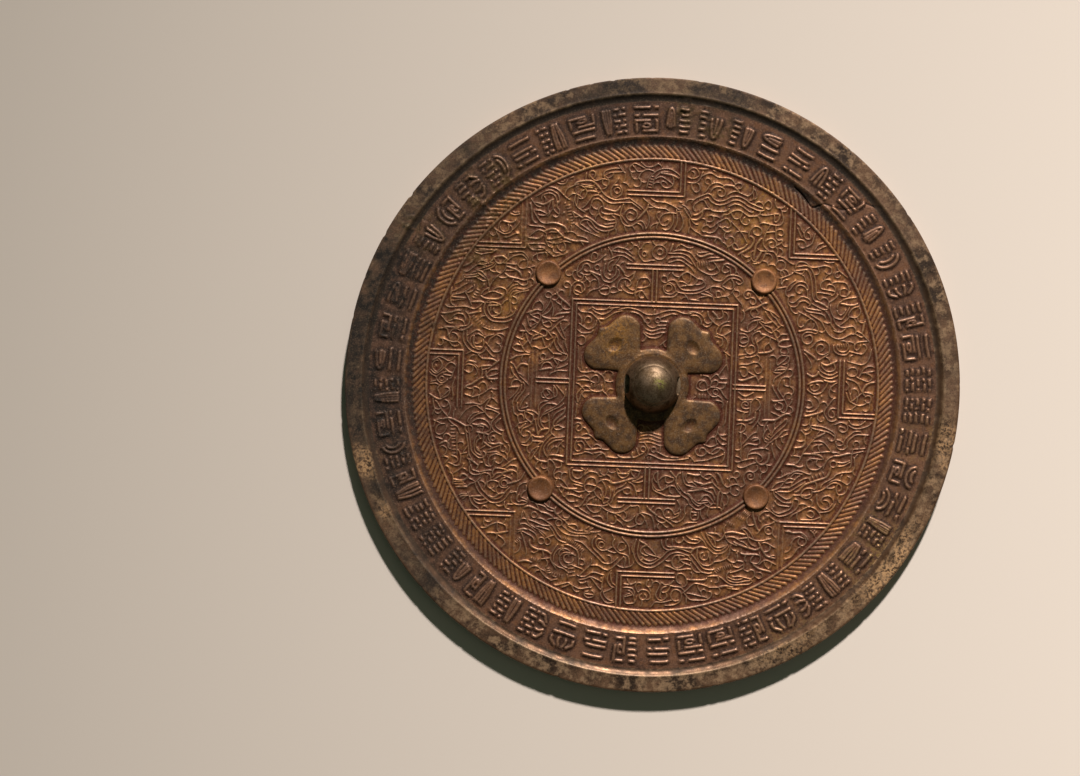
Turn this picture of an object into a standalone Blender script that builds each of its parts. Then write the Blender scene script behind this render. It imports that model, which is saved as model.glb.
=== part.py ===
# Round bronze mirror of the Han dynasty, cast in one piece, lying on its polished face with its back up.
# Lengths are in metres. +X is the right of the pattern on the back, +Y its top, and +Z is out of the back.
import math

import bmesh
import bpy

MM = 0.001

# Driving dimensions of the casting
MIRROR_RADIUS = 93.5 * MM
RIM_THICKNESS = 5.5 * MM
BAND_THICKNESS = 4.3 * MM
FIELD_THICKNESS = 3.0 * MM
EDGE_CHAMFER = 0.4 * MM

# Radii of the zones, from the rim inwards
RIM_INNER_RADIUS = 88.5 * MM
BAND_OUTER_RADIUS = 86.1 * MM
BAND_INNER_RADIUS = 75.4 * MM
COMB_OUTER_RADIUS = 73.0 * MM
BORDER_LINE_RADIUS = 68.9 * MM
RING_OUTER_RADIUS = 46.3 * MM
RING_INNER_RADIUS = 44.9 * MM

# Raised circles: half width of a ridge at its foot, and its height over the field
RIDGE_HALF_WIDTH = 0.6 * MM
RING_HEIGHT = 0.5 * MM
RING_GROOVE_HEIGHT = 0.1 * MM
BORDER_LINE_HEIGHT = 0.45 * MM

# Calyx around the knob: a round hub and four petals on the diagonals, each with an oval pit. A petal has
# two round lobes and a small point between them. Angles are counted from the middle of the petal.
CALYX_HEIGHT = 0.9 * MM
HUB_RADIUS = 12.3 * MM
PETAL_NECK_ANGLE = math.radians(25)
LOBE_DISTANCE = 18.7 * MM
LOBE_ANGLE = math.radians(17.6)
LOBE_RADIUS = 4.6 * MM
LOBE_ARC_START = math.radians(8)
LOBE_ARC_END = math.radians(118)
PETAL_DIP_RADIUS = 22.5 * MM
PETAL_DIP_ANGLE = math.radians(5.5)
PETAL_TIP_RADIUS = 24.3 * MM
PIT_RADIUS = 1.7 * MM
PIT_DISTANCE = 16.8 * MM
PIT_DEPTH = 0.55 * MM

# Knob, and the hole for the cord, which runs along X
KNOB_RADIUS = 8.75 * MM
KNOB_HEIGHT = 9.7 * MM
CORD_HOLE_WIDTH = 5.6 * MM
CORD_HOLE_HEIGHT = 4.8 * MM
CORD_HOLE_FLOOR = FIELD_THICKNESS + CALYX_HEIGHT + 0.1 * MM
CORD_HOLE_CORNER = 1.6 * MM

# Four dished bosses on the ring
BOSS_RADIUS = 3.9 * MM
BOSS_HEIGHT = 1.5 * MM
BOSS_DISH_DEPTH = 0.75 * MM

# Straight double lines: the square, and the T, L and V marks
SQUARE_SIDE = 50.5 * MM
LINE_GAP = 1.4 * MM
BAR_LENGTH = 17.4 * MM
T_BAR_DISTANCE = 36.3 * MM
L_BAR_DISTANCE = 58.2 * MM
V_APEX_DISTANCE = 57.0 * MM

# Raised threads have a ridged section: its half width, and how far its axis lies under the surface
LINE_HALF_WIDTH = 0.45 * MM
LINE_SINK = 0.12 * MM
LINE_END_GAP = 0.3 * MM
STROKE_HALF_WIDTH = 0.55 * MM
STROKE_SINK = 0.13 * MM
COMB_HALF_WIDTH = 0.5 * MM
COMB_SINK = 0.2 * MM
SCROLL_HALF_WIDTH = 0.5 * MM
SCROLL_SINK = 0.17 * MM

# Repeats around the mirror
DISC_STEPS = 76
COMB_TEETH = 72
COMB_SLANT = math.radians(3.4)
GLYPH_COUNT = 52
GLYPH_SIZE = 7.4 * MM

# Scrolls: the middle of a beast's body in an outer sector, and of a curl inside the ring
SECTOR_RADIUS = 57.2 * MM
BODY_LENGTH = 46.0 * MM
BODY_LEAN = 0.5
INNER_SCROLL_RADIUS = 36.5 * MM
CURL_LENGTH = 24.0 * MM
CURL_LEAN = 1.3
SCROLL_BEND = 4.1

# How far raised work reaches down into the disc
ROOT = 0.6 * MM


def clear_scene():
    for item in list(bpy.data.objects):
        bpy.data.objects.remove(item, do_unlink=True)


def new_collection(name):
    group = bpy.data.collections.new(name)
    bpy.context.scene.collection.children.link(group)
    return group


def bronze_material():
    bronze = bpy.data.materials.new("gilt_bronze")
    bronze.use_nodes = True
    shader = bronze.node_tree.nodes["Principled BSDF"]
    shader.inputs["Base Color"].default_value = (0.21, 0.11, 0.055, 1.0)
    shader.inputs["Metallic"].default_value = 0.75
    shader.inputs["Roughness"].default_value = 0.48
    return bronze


def hide_as_guide(item):
    item.hide_render = True
    item.display_type = "WIRE"


def turned(name, profile, steps, group):
    # A profile runs from the axis at the top, down the outer side, and back to the axis
    mesh = bpy.data.meshes.new(name)
    edges = [(index, index + 1) for index in range(len(profile) - 1)]
    mesh.from_pydata([(radius, 0.0, height) for radius, height in profile], edges, [])
    item = bpy.data.objects.new(name, mesh)
    group.objects.link(item)
    screw = item.modifiers.new("turn", "SCREW")
    screw.axis = "Z"
    screw.steps = steps
    screw.render_steps = steps
    screw.use_merge_vertices = True
    screw.merge_threshold = 0.00001
    screw.use_smooth_shade = True
    return item


def curve_to_mesh(item, group):
    # The solid a curve stands for, with its caps welded on
    evaluated = item.evaluated_get(bpy.context.evaluated_depsgraph_get())
    mesh = bpy.data.meshes.new_from_object(evaluated)
    solid = bmesh.new()
    solid.from_mesh(mesh)
    bmesh.ops.remove_doubles(solid, verts=solid.verts, dist=0.000001)
    bmesh.ops.recalc_face_normals(solid, faces=solid.faces)
    solid.to_mesh(mesh)
    solid.free()
    result = bpy.data.objects.new(item.name + "_solid", mesh)
    result.matrix_world = item.matrix_world.copy()
    group.objects.link(result)
    bpy.data.objects.remove(item, do_unlink=True)
    hide_as_guide(result)
    return result


def add_spline(curve, points, closed):
    spline = curve.splines.new("POLY")
    spline.points.add(len(points) - 1)
    for target, point in zip(spline.points, points):
        target.co = (*point, 1.0)
    spline.use_cyclic_u = closed


def threads(name, routes, half_width, height, group, closed=False):
    # Raised lines: four-sided rods, half sunk in the surface, on edge so that a ridge stands up
    curve = bpy.data.curves.new(name, "CURVE")
    curve.dimensions = "3D"
    curve.twist_mode = "Z_UP"
    curve.bevel_depth = half_width
    curve.bevel_resolution = 0
    curve.use_fill_caps = not closed
    for route in routes:
        add_spline(curve, [(x, y, height) for x, y in route], closed)
    item = bpy.data.objects.new(name, curve)
    bpy.context.scene.collection.objects.link(item)
    bpy.context.view_layer.update()
    return curve_to_mesh(item, group)


def plate(name, outline, bottom, top, group):
    # A flat outline, extruded between two heights
    curve = bpy.data.curves.new(name, "CURVE")
    curve.dimensions = "2D"
    curve.fill_mode = "BOTH"
    curve.extrude = (top - bottom) / 2
    add_spline(curve, [(x, y, 0.0) for x, y in outline], True)
    item = bpy.data.objects.new(name, curve)
    item.location.z = (top + bottom) / 2
    bpy.context.scene.collection.objects.link(item)
    bpy.context.view_layer.update()
    return curve_to_mesh(item, group)


def polar(radius, angle):
    return radius * math.cos(angle), radius * math.sin(angle)


def spun(points, angle):
    cosine, sine = math.cos(angle), math.sin(angle)
    return [(x * cosine - y * sine, x * sine + y * cosine) for x, y in points]


def four_times(routes):
    # Each route again at every side of the square, clockwise from the top
    return [spun(route, -side * math.pi / 2) for side in range(4) for route in routes]


def scroll(centre, length, heading, bend, count):
    # An S whose bend grows from the middle to both ends
    step = length / (count - 1)
    middle = (count - 1) / 2
    x, y = 0.0, 0.0
    points = []
    for index in range(count):
        points.append((x, y))
        along = (index + 0.5 - middle) / middle
        turn = bend * along * along
        x += step * math.cos(heading + turn)
        y += step * math.sin(heading + turn)
    shift_x = centre[0] - points[count // 2][0]
    shift_y = centre[1] - points[count // 2][1]
    return [(px + shift_x, py + shift_y) for px, py in points]


def disc_profile():
    field = FIELD_THICKNESS
    ring_foot = RIDGE_HALF_WIDTH
    return [
        (0.0, field),
        (RING_INNER_RADIUS - ring_foot, field),
        (RING_INNER_RADIUS, field + RING_HEIGHT),
        ((RING_INNER_RADIUS + RING_OUTER_RADIUS) / 2, field + RING_GROOVE_HEIGHT),
        (RING_OUTER_RADIUS, field + RING_HEIGHT),
        (RING_OUTER_RADIUS + ring_foot, field),
        (BORDER_LINE_RADIUS - ring_foot, field),
        (BORDER_LINE_RADIUS, field + BORDER_LINE_HEIGHT),
        (BORDER_LINE_RADIUS + ring_foot, field),
        (COMB_OUTER_RADIUS, field),
        (BAND_INNER_RADIUS, BAND_THICKNESS),
        (BAND_OUTER_RADIUS, BAND_THICKNESS),
        (RIM_INNER_RADIUS, RIM_THICKNESS),
        (MIRROR_RADIUS - EDGE_CHAMFER, RIM_THICKNESS),
        (MIRROR_RADIUS, RIM_THICKNESS - EDGE_CHAMFER),
        (MIRROR_RADIUS, EDGE_CHAMFER),
        (MIRROR_RADIUS - EDGE_CHAMFER, 0.0),
        (0.0, 0.0),
    ]


def knob_profile():
    # Steep sides, a rounded shoulder and a low dome, over a root that reaches into the disc
    foot = FIELD_THICKNESS
    dome_steps = 7
    points = []
    for index in range(dome_steps + 1):
        angle = math.pi / 2 * index / dome_steps
        radius = KNOB_RADIUS * math.sin(angle) ** 0.9
        points.append((radius, foot + KNOB_HEIGHT * math.cos(angle) ** 0.8))
    points[-1] = (KNOB_RADIUS, foot + 0.8 * MM)
    points.append((KNOB_RADIUS, foot - ROOT))
    points.append((0.0, foot - ROOT))
    return points


def boss_profile():
    top = BOSS_HEIGHT
    return [
        (0.0, top - BOSS_DISH_DEPTH),
        (BOSS_RADIUS * 0.45, top - BOSS_DISH_DEPTH * 0.78),
        (BOSS_RADIUS * 0.78, top),
        (BOSS_RADIUS * 0.92, top - 0.1 * MM),
        (BOSS_RADIUS, top * 0.45),
        (BOSS_RADIUS, -ROOT),
        (0.0, -ROOT),
    ]


def make_knob(group):
    knob = turned("knob", knob_profile(), 28, group)
    hide_as_guide(knob)


def make_cord_hole(group):
    # An upright slot with round upper corners, laid along X through the knob
    half = CORD_HOLE_WIDTH / 2
    corner_steps = 3
    outline = [(-half, 0.0), (half, 0.0)]
    for side in (1, -1):
        for index in range(corner_steps + 1):
            angle = math.pi / 2 * index / corner_steps
            reach = angle if side == 1 else math.pi / 2 - angle
            y = side * (half - CORD_HOLE_CORNER + CORD_HOLE_CORNER * math.cos(reach))
            z = CORD_HOLE_HEIGHT - CORD_HOLE_CORNER + CORD_HOLE_CORNER * math.sin(reach)
            outline.append((y, z))
    length = 2 * KNOB_RADIUS + 6 * MM
    hole = plate("cord_hole", outline, -length / 2, length / 2, group)
    hole.rotation_euler = (math.pi / 2, 0.0, math.pi / 2)
    hole.location.z = CORD_HOLE_FLOOR


def petal_side(middle, side):
    # Half a petal, from the hub out around the lobe to the dip beside the tip
    lobe_x, lobe_y = polar(LOBE_DISTANCE, middle + side * LOBE_ANGLE)
    lobe_steps = 6
    points = [polar(HUB_RADIUS, middle + side * PETAL_NECK_ANGLE)]
    for index in range(lobe_steps + 1):
        part = index / lobe_steps
        sweep = LOBE_ARC_END + (LOBE_ARC_START - LOBE_ARC_END) * part
        reach_x, reach_y = polar(LOBE_RADIUS, middle + side * sweep)
        points.append((lobe_x + reach_x, lobe_y + reach_y))
    points.append(polar(PETAL_DIP_RADIUS, middle + side * PETAL_DIP_ANGLE))
    return points


def make_calyx(raised, sunk):
    outline = []
    hub_steps = 3
    for petal in range(4):
        middle = math.pi / 4 + petal * math.pi / 2
        outline += petal_side(middle, -1)
        outline.append(polar(PETAL_TIP_RADIUS, middle))
        outline += reversed(petal_side(middle, 1))
        gap = math.pi / 2 - 2 * PETAL_NECK_ANGLE
        for index in range(1, hub_steps):
            outline.append(polar(HUB_RADIUS, middle + PETAL_NECK_ANGLE + gap * index / hub_steps))
        make_pit(petal + 1, polar(PIT_DISTANCE, middle), sunk)
    plate("calyx", outline, FIELD_THICKNESS - ROOT, FIELD_THICKNESS + CALYX_HEIGHT, raised)


def make_pit(number, place, group):
    # A shallow dimple in a petal, left by the cap of a ball
    ball_radius = (PIT_RADIUS ** 2 + PIT_DEPTH ** 2) / (2 * PIT_DEPTH)
    mesh = bpy.data.meshes.new(f"pit_{number}")
    ball = bmesh.new()
    bmesh.ops.create_uvsphere(ball, u_segments=12, v_segments=14, radius=ball_radius)
    ball.to_mesh(mesh)
    ball.free()
    pit = bpy.data.objects.new(f"pit_{number}", mesh)
    pit.location = (*place, FIELD_THICKNESS + CALYX_HEIGHT - PIT_DEPTH + ball_radius)
    group.objects.link(pit)
    hide_as_guide(pit)


def make_bosses(group):
    distance = (RING_INNER_RADIUS + RING_OUTER_RADIUS) / 2 + 0.9 * MM
    for corner in range(4):
        boss = turned(f"boss_{corner + 1}", boss_profile(), 16, group)
        boss.location = (*polar(distance, math.pi / 4 + corner * math.pi / 2), FIELD_THICKNESS)
        hide_as_guide(boss)


def make_square(group):
    for number, side in enumerate((SQUARE_SIDE, SQUARE_SIDE - 2 * LINE_GAP)):
        half = side / 2
        corners = [(half, half), (-half, half), (-half, -half), (half, -half)]
        threads(f"square_line_{number + 1}", [corners], LINE_HALF_WIDTH,
                FIELD_THICKNESS - LINE_SINK, group, closed=True)


def make_t_marks(group):
    half_bar = BAR_LENGTH / 2
    half_gap = LINE_GAP / 2
    bars = []
    for distance in (T_BAR_DISTANCE, T_BAR_DISTANCE - LINE_GAP):
        bars.append([(-half_bar, distance), (half_bar, distance)])
    stem_foot = SQUARE_SIDE / 2 + LINE_END_GAP
    stem_head = T_BAR_DISTANCE - LINE_GAP - LINE_END_GAP
    stems = [[(side, stem_foot), (side, stem_head)] for side in (-half_gap, half_gap)]
    height = FIELD_THICKNESS - LINE_SINK
    threads("t_bars", four_times(bars), LINE_HALF_WIDTH, height, group)
    threads("t_stems", four_times(stems), LINE_HALF_WIDTH, height, group)


def make_l_marks(group):
    # A bar, then a leg out to the border line from its clockwise end
    half_bar = BAR_LENGTH / 2
    outer = [(-half_bar, L_BAR_DISTANCE), (half_bar - LINE_GAP, L_BAR_DISTANCE)]
    inner = [(-half_bar, L_BAR_DISTANCE - LINE_GAP), (half_bar, L_BAR_DISTANCE - LINE_GAP)]
    lines = []
    for route in (outer, inner):
        corner_x = route[-1][0]
        leg_end = math.sqrt((BORDER_LINE_RADIUS - LINE_END_GAP) ** 2 - corner_x ** 2)
        lines.append(route + [(corner_x, leg_end)])
    threads("l_marks", four_times(lines), LINE_HALF_WIDTH, FIELD_THICKNESS - LINE_SINK, group)


def make_v_marks(group):
    # A right angle that opens outwards, its arms run out to the border line
    lines = []
    for shift in (0.0, LINE_GAP):
        apex = V_APEX_DISTANCE / math.sqrt(2) + shift
        end = math.sqrt((BORDER_LINE_RADIUS - LINE_END_GAP) ** 2 - apex ** 2)
        lines.append([(apex, end), (apex, apex), (end, apex)])
    threads("v_marks", four_times(lines), LINE_HALF_WIDTH, FIELD_THICKNESS - LINE_SINK, group)


def make_comb(group):
    # Slanted teeth between the border line and the slope, moving clockwise towards the middle
    inner = BORDER_LINE_RADIUS + 0.5 * MM
    outer = COMB_OUTER_RADIUS + 0.3 * MM
    teeth = []
    for tooth in range(COMB_TEETH):
        angle = 2 * math.pi * (tooth + 0.5) / COMB_TEETH
        teeth.append([polar(outer, angle + COMB_SLANT / 2), polar(inner, angle - COMB_SLANT / 2)])
    threads("comb_teeth", teeth, COMB_HALF_WIDTH, FIELD_THICKNESS - COMB_SINK, group)


def make_glyphs(group):
    # Places of an inscription, each filled with three staggered, leaning strokes that are no letter
    radius = (BAND_INNER_RADIUS + BAND_OUTER_RADIUS) / 2
    half = GLYPH_SIZE / 2
    reach = half * 0.74
    leans = (0.0, 0.26 * half, -0.26 * half)
    strokes = []
    for glyph in range(GLYPH_COUNT):
        angle = 2 * math.pi * (glyph + 0.5) / GLYPH_COUNT
        lean = leans[glyph * 5 % 3]
        for row in (-1, 0, 1):
            place = row * half * 0.68
            shift = (half - reach) * (1 if row else -1) * (1 if glyph % 2 else -1)
            stroke = [(radius + shift - reach, place - lean), (radius + shift + reach, place + lean)]
            strokes.append(spun(stroke, angle))
    threads("glyph_strokes", strokes, STROKE_HALF_WIDTH, BAND_THICKNESS - STROKE_SINK, group)


def make_scrolls(group):
    # The largest curls of the ornament: a beast's body in each sector, and a curl on each side of a T mark
    routes = []
    for sector in range(8):
        hand = 1 if sector % 2 else -1
        angle = math.pi / 8 + sector * math.pi / 4
        outer = polar(SECTOR_RADIUS, angle)
        inner = polar(INNER_SCROLL_RADIUS, angle)
        routes.append(scroll(outer, BODY_LENGTH, angle + hand * BODY_LEAN, hand * SCROLL_BEND, 13))
        routes.append(scroll(inner, CURL_LENGTH, angle + hand * CURL_LEAN, -hand * SCROLL_BEND, 11))
    threads("scrolls", routes, SCROLL_HALF_WIDTH, FIELD_THICKNESS - SCROLL_SINK, group)


def add_boolean(item, name, operation, group):
    modifier = item.modifiers.new(name, "BOOLEAN")
    modifier.operation = operation
    modifier.operand_type = "COLLECTION"
    modifier.collection = group
    modifier.solver = "EXACT"


def main():
    clear_scene()
    parts = new_collection("bronze_mirror")
    raised = new_collection("raised_work")
    sunk = new_collection("sunk_work")
    mirror = turned("bronze_mirror", disc_profile(), DISC_STEPS, parts)
    mirror.data.materials.append(bronze_material())
    make_knob(raised)
    make_bosses(raised)
    make_calyx(raised, sunk)
    make_square(raised)
    make_t_marks(raised)
    make_l_marks(raised)
    make_v_marks(raised)
    make_comb(raised)
    make_glyphs(raised)
    make_scrolls(raised)
    make_cord_hole(sunk)
    add_boolean(mirror, "raise_ornament", "UNION", raised)
    add_boolean(mirror, "cut_hollows", "DIFFERENCE", sunk)


main()
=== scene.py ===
import math
import random
import re
import time

import bmesh
import bpy
import numpy as np
from mathutils import Matrix, Vector, geometry, noise


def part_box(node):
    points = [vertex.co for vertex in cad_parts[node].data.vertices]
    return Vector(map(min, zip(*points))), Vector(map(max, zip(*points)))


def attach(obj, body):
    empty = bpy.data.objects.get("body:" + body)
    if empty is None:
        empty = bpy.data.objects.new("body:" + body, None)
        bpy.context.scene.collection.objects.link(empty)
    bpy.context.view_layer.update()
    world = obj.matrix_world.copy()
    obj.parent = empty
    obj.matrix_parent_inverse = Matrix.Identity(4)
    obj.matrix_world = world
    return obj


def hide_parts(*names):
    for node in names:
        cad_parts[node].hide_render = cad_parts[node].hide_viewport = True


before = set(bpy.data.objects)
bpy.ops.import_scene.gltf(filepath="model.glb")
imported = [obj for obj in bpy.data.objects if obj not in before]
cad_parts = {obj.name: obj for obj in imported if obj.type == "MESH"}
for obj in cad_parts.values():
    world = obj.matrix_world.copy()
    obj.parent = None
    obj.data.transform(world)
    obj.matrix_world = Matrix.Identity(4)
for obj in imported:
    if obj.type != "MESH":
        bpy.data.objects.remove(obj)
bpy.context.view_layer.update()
started = time.time()

mm = 0.001
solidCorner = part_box("bronze_mirror")[1]
mirrorRadius = round(solidCorner.x / mm, 2)
knobTop = round(solidCorner.z / mm, 2)

# Radii and heights of the casting's zones; cove is the power of the steps' hollow curve, lip the low bulge
# along their tops, and round the power of a ridge's section, fuller the lower it is
casting = {
    "radius": mirrorRadius, "rimInner": 88.4, "bandOuter": 86.45, "bandInner": 75.4, "combOuter": 72.9,
    "borderLine": 68.9, "ringOuter": 46.2, "ringInner": 45.0,
    "rimZ": 5.5, "bandZ": 4.3, "bandRise": 0.5, "fieldZ": 3.0, "edgeSoftness": 0.2, "cove": 2.0,
    "lip": 0.1, "lipShift": 0.25, "lipWidth": 0.3,
    "ringHeight": 0.46, "borderHeight": 0.42, "ridgeHalfWidth": 0.5, "round": 0.7,
}
ringMiddle = (casting["ringInner"] + casting["ringOuter"]) / 2

# Raised threads of the scrolls; room is the least distance between the middles of two threads
thread = {
    "halfWidth": 0.26, "height": 0.235, "step": 0.18, "room": 1.12, "double": 1.15, "spacing": 1.0,
    "taperPoints": 4, "tip": 0.6,
}

dice = random.Random(52)


def polar(angle, radius):
    # angle in degrees clockwise from the top of the pattern
    a = math.radians(90 - angle)
    return np.array([radius * math.cos(a), radius * math.sin(a)])


def turned(points, degrees):
    c, s = math.cos(math.radians(degrees)), math.sin(math.radians(degrees))
    return np.asarray(points, float) @ np.array([[c, s], [-s, c]])


def resample(points, step):
    points = np.asarray(points, float)
    legs = np.hypot(*np.diff(points, axis=0).T)
    run = np.concatenate([[0.0], np.cumsum(legs)])
    count = max(2, int(round(run[-1] / step)) + 1)
    at = np.linspace(0.0, run[-1], count)
    return np.stack([np.interp(at, run, points[:, 0]), np.interp(at, run, points[:, 1])], axis=1)


def smoothRoute(points):
    # a flowing line through a few given points
    points = np.asarray(points, float)
    padded = np.vstack([2 * points[0] - points[1], points, 2 * points[-1] - points[-2]])
    out = []
    for a, b, c, d in zip(padded[:-3], padded[1:-2], padded[2:-1], padded[3:]):
        for t in np.linspace(0, 1, 12, endpoint=False):
            out.append(0.5 * (2 * b + (c - a) * t + (2 * a - 5 * b + 4 * c - d) * t ** 2
                              + (3 * b - a - 3 * c + d) * t ** 3))
    out.append(points[-1])
    return resample(out, thread["step"])


def offset(route, distance):
    # the line beside a route, to its left
    along = np.gradient(route, axis=0)
    along /= np.maximum(np.hypot(along[:, 0], along[:, 1]), 1e-9)[:, None]
    return route + np.stack([-along[:, 1], along[:, 0]], axis=1) * np.reshape(distance, (-1, 1))


def softened(route, passes):
    for _ in range(passes):
        route[1:-1] = route[1:-1] * 0.5 + (route[:-2] + route[2:]) * 0.25
    return route


def cornered(points):
    # a straight-sided route that keeps its corners
    legs = [resample([a, b], thread["step"])[:-1] for a, b in zip(points[:-1], points[1:])]
    return np.vstack(legs + [np.asarray(points[-1], float)[None, :]])


def eye(centre, radius, start, hand, turns):
    # a spiral from its outer end to the middle; start in radians, hand 1 runs anticlockwise
    end = 0.45
    count = max(8, int(turns * math.pi * (radius + end) / thread["step"]))
    t = np.linspace(0.0, 1.0, count)
    r = radius - (radius - end) * t ** 0.9
    angle = start + hand * turns * 2 * math.pi * t
    spiral = np.stack([centre[0] + r * np.cos(angle), centre[1] + r * np.sin(angle)], axis=1)
    return resample(spiral, thread["step"])


class Room:
    # where threads already lie, on a grid: how near the nearest one is and which it is
    cell = 0.15
    reach = 9       # cells to each side that a thread marks
    border = 25     # cells along the edge that stay unused
    far = 9.0       # the distance where no thread is near

    def __init__(self, half):
        self.half = half
        self.n = int(2 * half / self.cell) + 2
        self.taken = np.zeros((self.n, self.n), bool)
        self.near = np.full((self.n, self.n), self.far, np.float32)
        self.who = np.full((self.n, self.n), -1, np.int32)
        g = np.arange(-self.reach, self.reach + 1) * self.cell
        self.disc = np.hypot(g[:, None], g[None, :]).astype(np.float32)

    def index(self, points):
        spots = ((np.asarray(points) + self.half) / self.cell).astype(int)
        return np.clip(spots, self.border, self.n - self.border - 1)

    def at(self, points):
        i = self.index(points)
        return self.taken[i[..., 1], i[..., 0]]

    def cellOf(self, x, y):
        return int((y + self.half) / self.cell), int((x + self.half) / self.cell)

    def clear(self, x, y, own=None):
        # the distance to the nearest line that is not its own, and that line's number
        cell = self.cellOf(x, y)
        who = self.who[cell]
        return (self.far, -1) if who == own else (float(self.near[cell]), who)

    def stamp(self, route, reach, label=-1):
        close = self.disc <= reach
        for x, y in self.index(route):
            around = (slice(y - self.reach, y + self.reach + 1), slice(x - self.reach, x + self.reach + 1))
            self.taken[around] |= close
            near = self.near[around]
            closer = self.disc < near
            near[closer] = self.disc[closer]
            self.who[around][closer] = label

    def grid(self):
        g = np.arange(self.n) * self.cell - self.half
        return np.meshgrid(g, g)


room = Room(76.0)
threads = []        # (route, half widths, height)
markNumbers = set()


def threadWidths(count, width, taper):
    widths = np.full(count, thread["halfWidth"] * width)
    if taper:
        fade = min(thread["taperPoints"], count // 3)
        for i in range(fade):
            k = thread["tip"] + (1 - thread["tip"]) * (i + 1) / (fade + 1)
            widths[i] *= k
            widths[-1 - i] *= k
    return widths


def raiseThread(route, width=1.0, height=1.0, taper=True, reach=None):
    # width and height are shares of the usual thread's
    widths = threadWidths(len(route), width, taper)
    threads.append((np.asarray(route, float), widths, thread["height"] * height))
    if reach != 0:
        room.stamp(route, reach or thread["room"], len(threads) - 1)


def raiseBead(centre, size):
    centre = np.asarray(centre, float)
    threads.append((np.stack([centre, centre + [0.05, 0.0]]), np.full(2, size), thread["height"] * 1.1))


def raiseRing(centre, radius):
    t = np.linspace(0, 2 * math.pi, max(12, int(2 * math.pi * radius / thread["step"])))
    ring = np.stack([centre[0] + radius * np.cos(t), centre[1] + radius * np.sin(t)], axis=1)
    raiseThread(ring, 0.85, taper=False)


# The straight double lines: the square, and the T, L and V marks
marks = {
    "squareSide": 50.5, "gap": 1.3, "bar": 17.4, "tBar": 36.3, "lBar": 58.75, "lShift": -0.6, "vApex": 57.0,
    "shift": (-0.45, 0.25), "halfWidth": 0.33, "height": 0.32, "room": 1.0, "wornHeight": 0.35,
}
wornMarks = ("T1", "T3", "right1", "left2", "right3")      # rubbed nearly flat; the number counts quarters


def raiseMarks():
    gap, bar, border = marks["gap"], marks["bar"] / 2, casting["borderLine"]
    wide, tall = marks["halfWidth"] / thread["halfWidth"], marks["height"] / thread["height"]

    def raiseMark(points, turn=0, shift=(0.0, 0.0), worn=False):
        route = cornered(turned(points, turn) + np.array(shift))
        height = tall * (marks["wornHeight"] if worn else 1.0)
        raiseThread(route, wide, height, taper=False, reach=marks["room"])
        markNumbers.add(len(threads) - 1)

    for inset in (0.0, gap):
        h = marks["squareSide"] / 2 - inset
        raiseMark([(0, h), (-h, h), (-h, -h), (h, -h), (h, h), (0, h)])
        for quarter in range(4):
            turn, x = -90 * quarter, inset - gap / 2
            bottom, top = marks["squareSide"] / 2, marks["tBar"] - inset
            raiseMark([(-bar, top), (bar, top)], turn, marks["shift"], f"T{quarter}" in wornMarks)
            raiseMark([(x, bottom), (x, marks["tBar"] - gap)], turn, marks["shift"])
            left, x, y = marks["lShift"] - bar, bar - gap + inset + marks["lShift"], marks["lBar"] - inset
            raiseMark([(left, y), (x, y), (x, math.sqrt(border ** 2 - x ** 2))], turn, marks["shift"])
            apex = marks["vApex"] / math.sqrt(2) + inset
            end = math.sqrt(border ** 2 - apex ** 2)
            raiseMark([(apex, end), (apex, apex)], turn, worn=f"left{quarter}" in wornMarks)
            raiseMark([(apex, apex), (end, apex)], turn, worn=f"right{quarter}" in wornMarks)


# Four petals round the knob, each with two lobes, a small point and an oval pit; angles from a petal's middle
calyx = {
    "height": 0.62, "dome": 0.28, "domeReach": 3.0, "edgeWidth": 0.9,
    "hub": 11.3, "neckAngle": 25.0, "lobeDistance": 18.7, "lobeAngle": 17.6, "lobe": 4.6,
    "lobeSweep": (118.0, 8.0), "dipRadius": 22.6, "dipAngle": 5.5, "tip": 23.9,
    "pitLong": 2.5, "pitShort": 1.85, "pitDistance": 16.8, "pitDepth": 0.6,
    "collar": 9.6, "collarWidth": 0.4, "collarHeight": 0.1,
}
petalAngles = [45 + 90 * quarter for quarter in range(4)]      # the petals and the bosses share them


def calyxOutline():
    # the edge of the calyx, once round, from the same lobes and points as the casting's solid
    lobe = polar(calyx["lobeAngle"], calyx["lobeDistance"])
    half = [polar(calyx["neckAngle"], calyx["hub"])]
    half += [lobe + polar(sweep, calyx["lobe"]) for sweep in np.linspace(*calyx["lobeSweep"], 24)]
    half += [polar(calyx["dipAngle"], calyx["dipRadius"]), polar(0, calyx["tip"])]
    half = np.array(half)
    petal = np.vstack([half, (half * [-1, 1])[-2::-1]])
    neck = np.array([polar(-calyx["neckAngle"] - 10 * k, calyx["hub"]) for k in (1, 2, 3)])
    outline = [turned(points, angle) for angle in petalAngles for points in (petal, neck)]
    loop = resample(np.vstack(outline + [outline[0][:1]]), 0.2)[:-1]
    for _ in range(5):
        loop = loop * 0.5 + (np.roll(loop, 1, axis=0) + np.roll(loop, -1, axis=0)) * 0.25
    return loop


# The four dished bosses on the ring
boss = {"radius": 3.95, "height": 1.1, "dish": 0.6, "shift": 0.9, "uneven": 0.07}


def bossPlaces():
    return [polar(angle, ringMiddle + boss["shift"]) for angle in petalAngles]


# How far the scrolls stay from the other forms
clearance = {"line": 0.6, "ring": 1.1, "hub": 0.8, "lobe": 0.7, "petal": 7.2}


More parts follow.
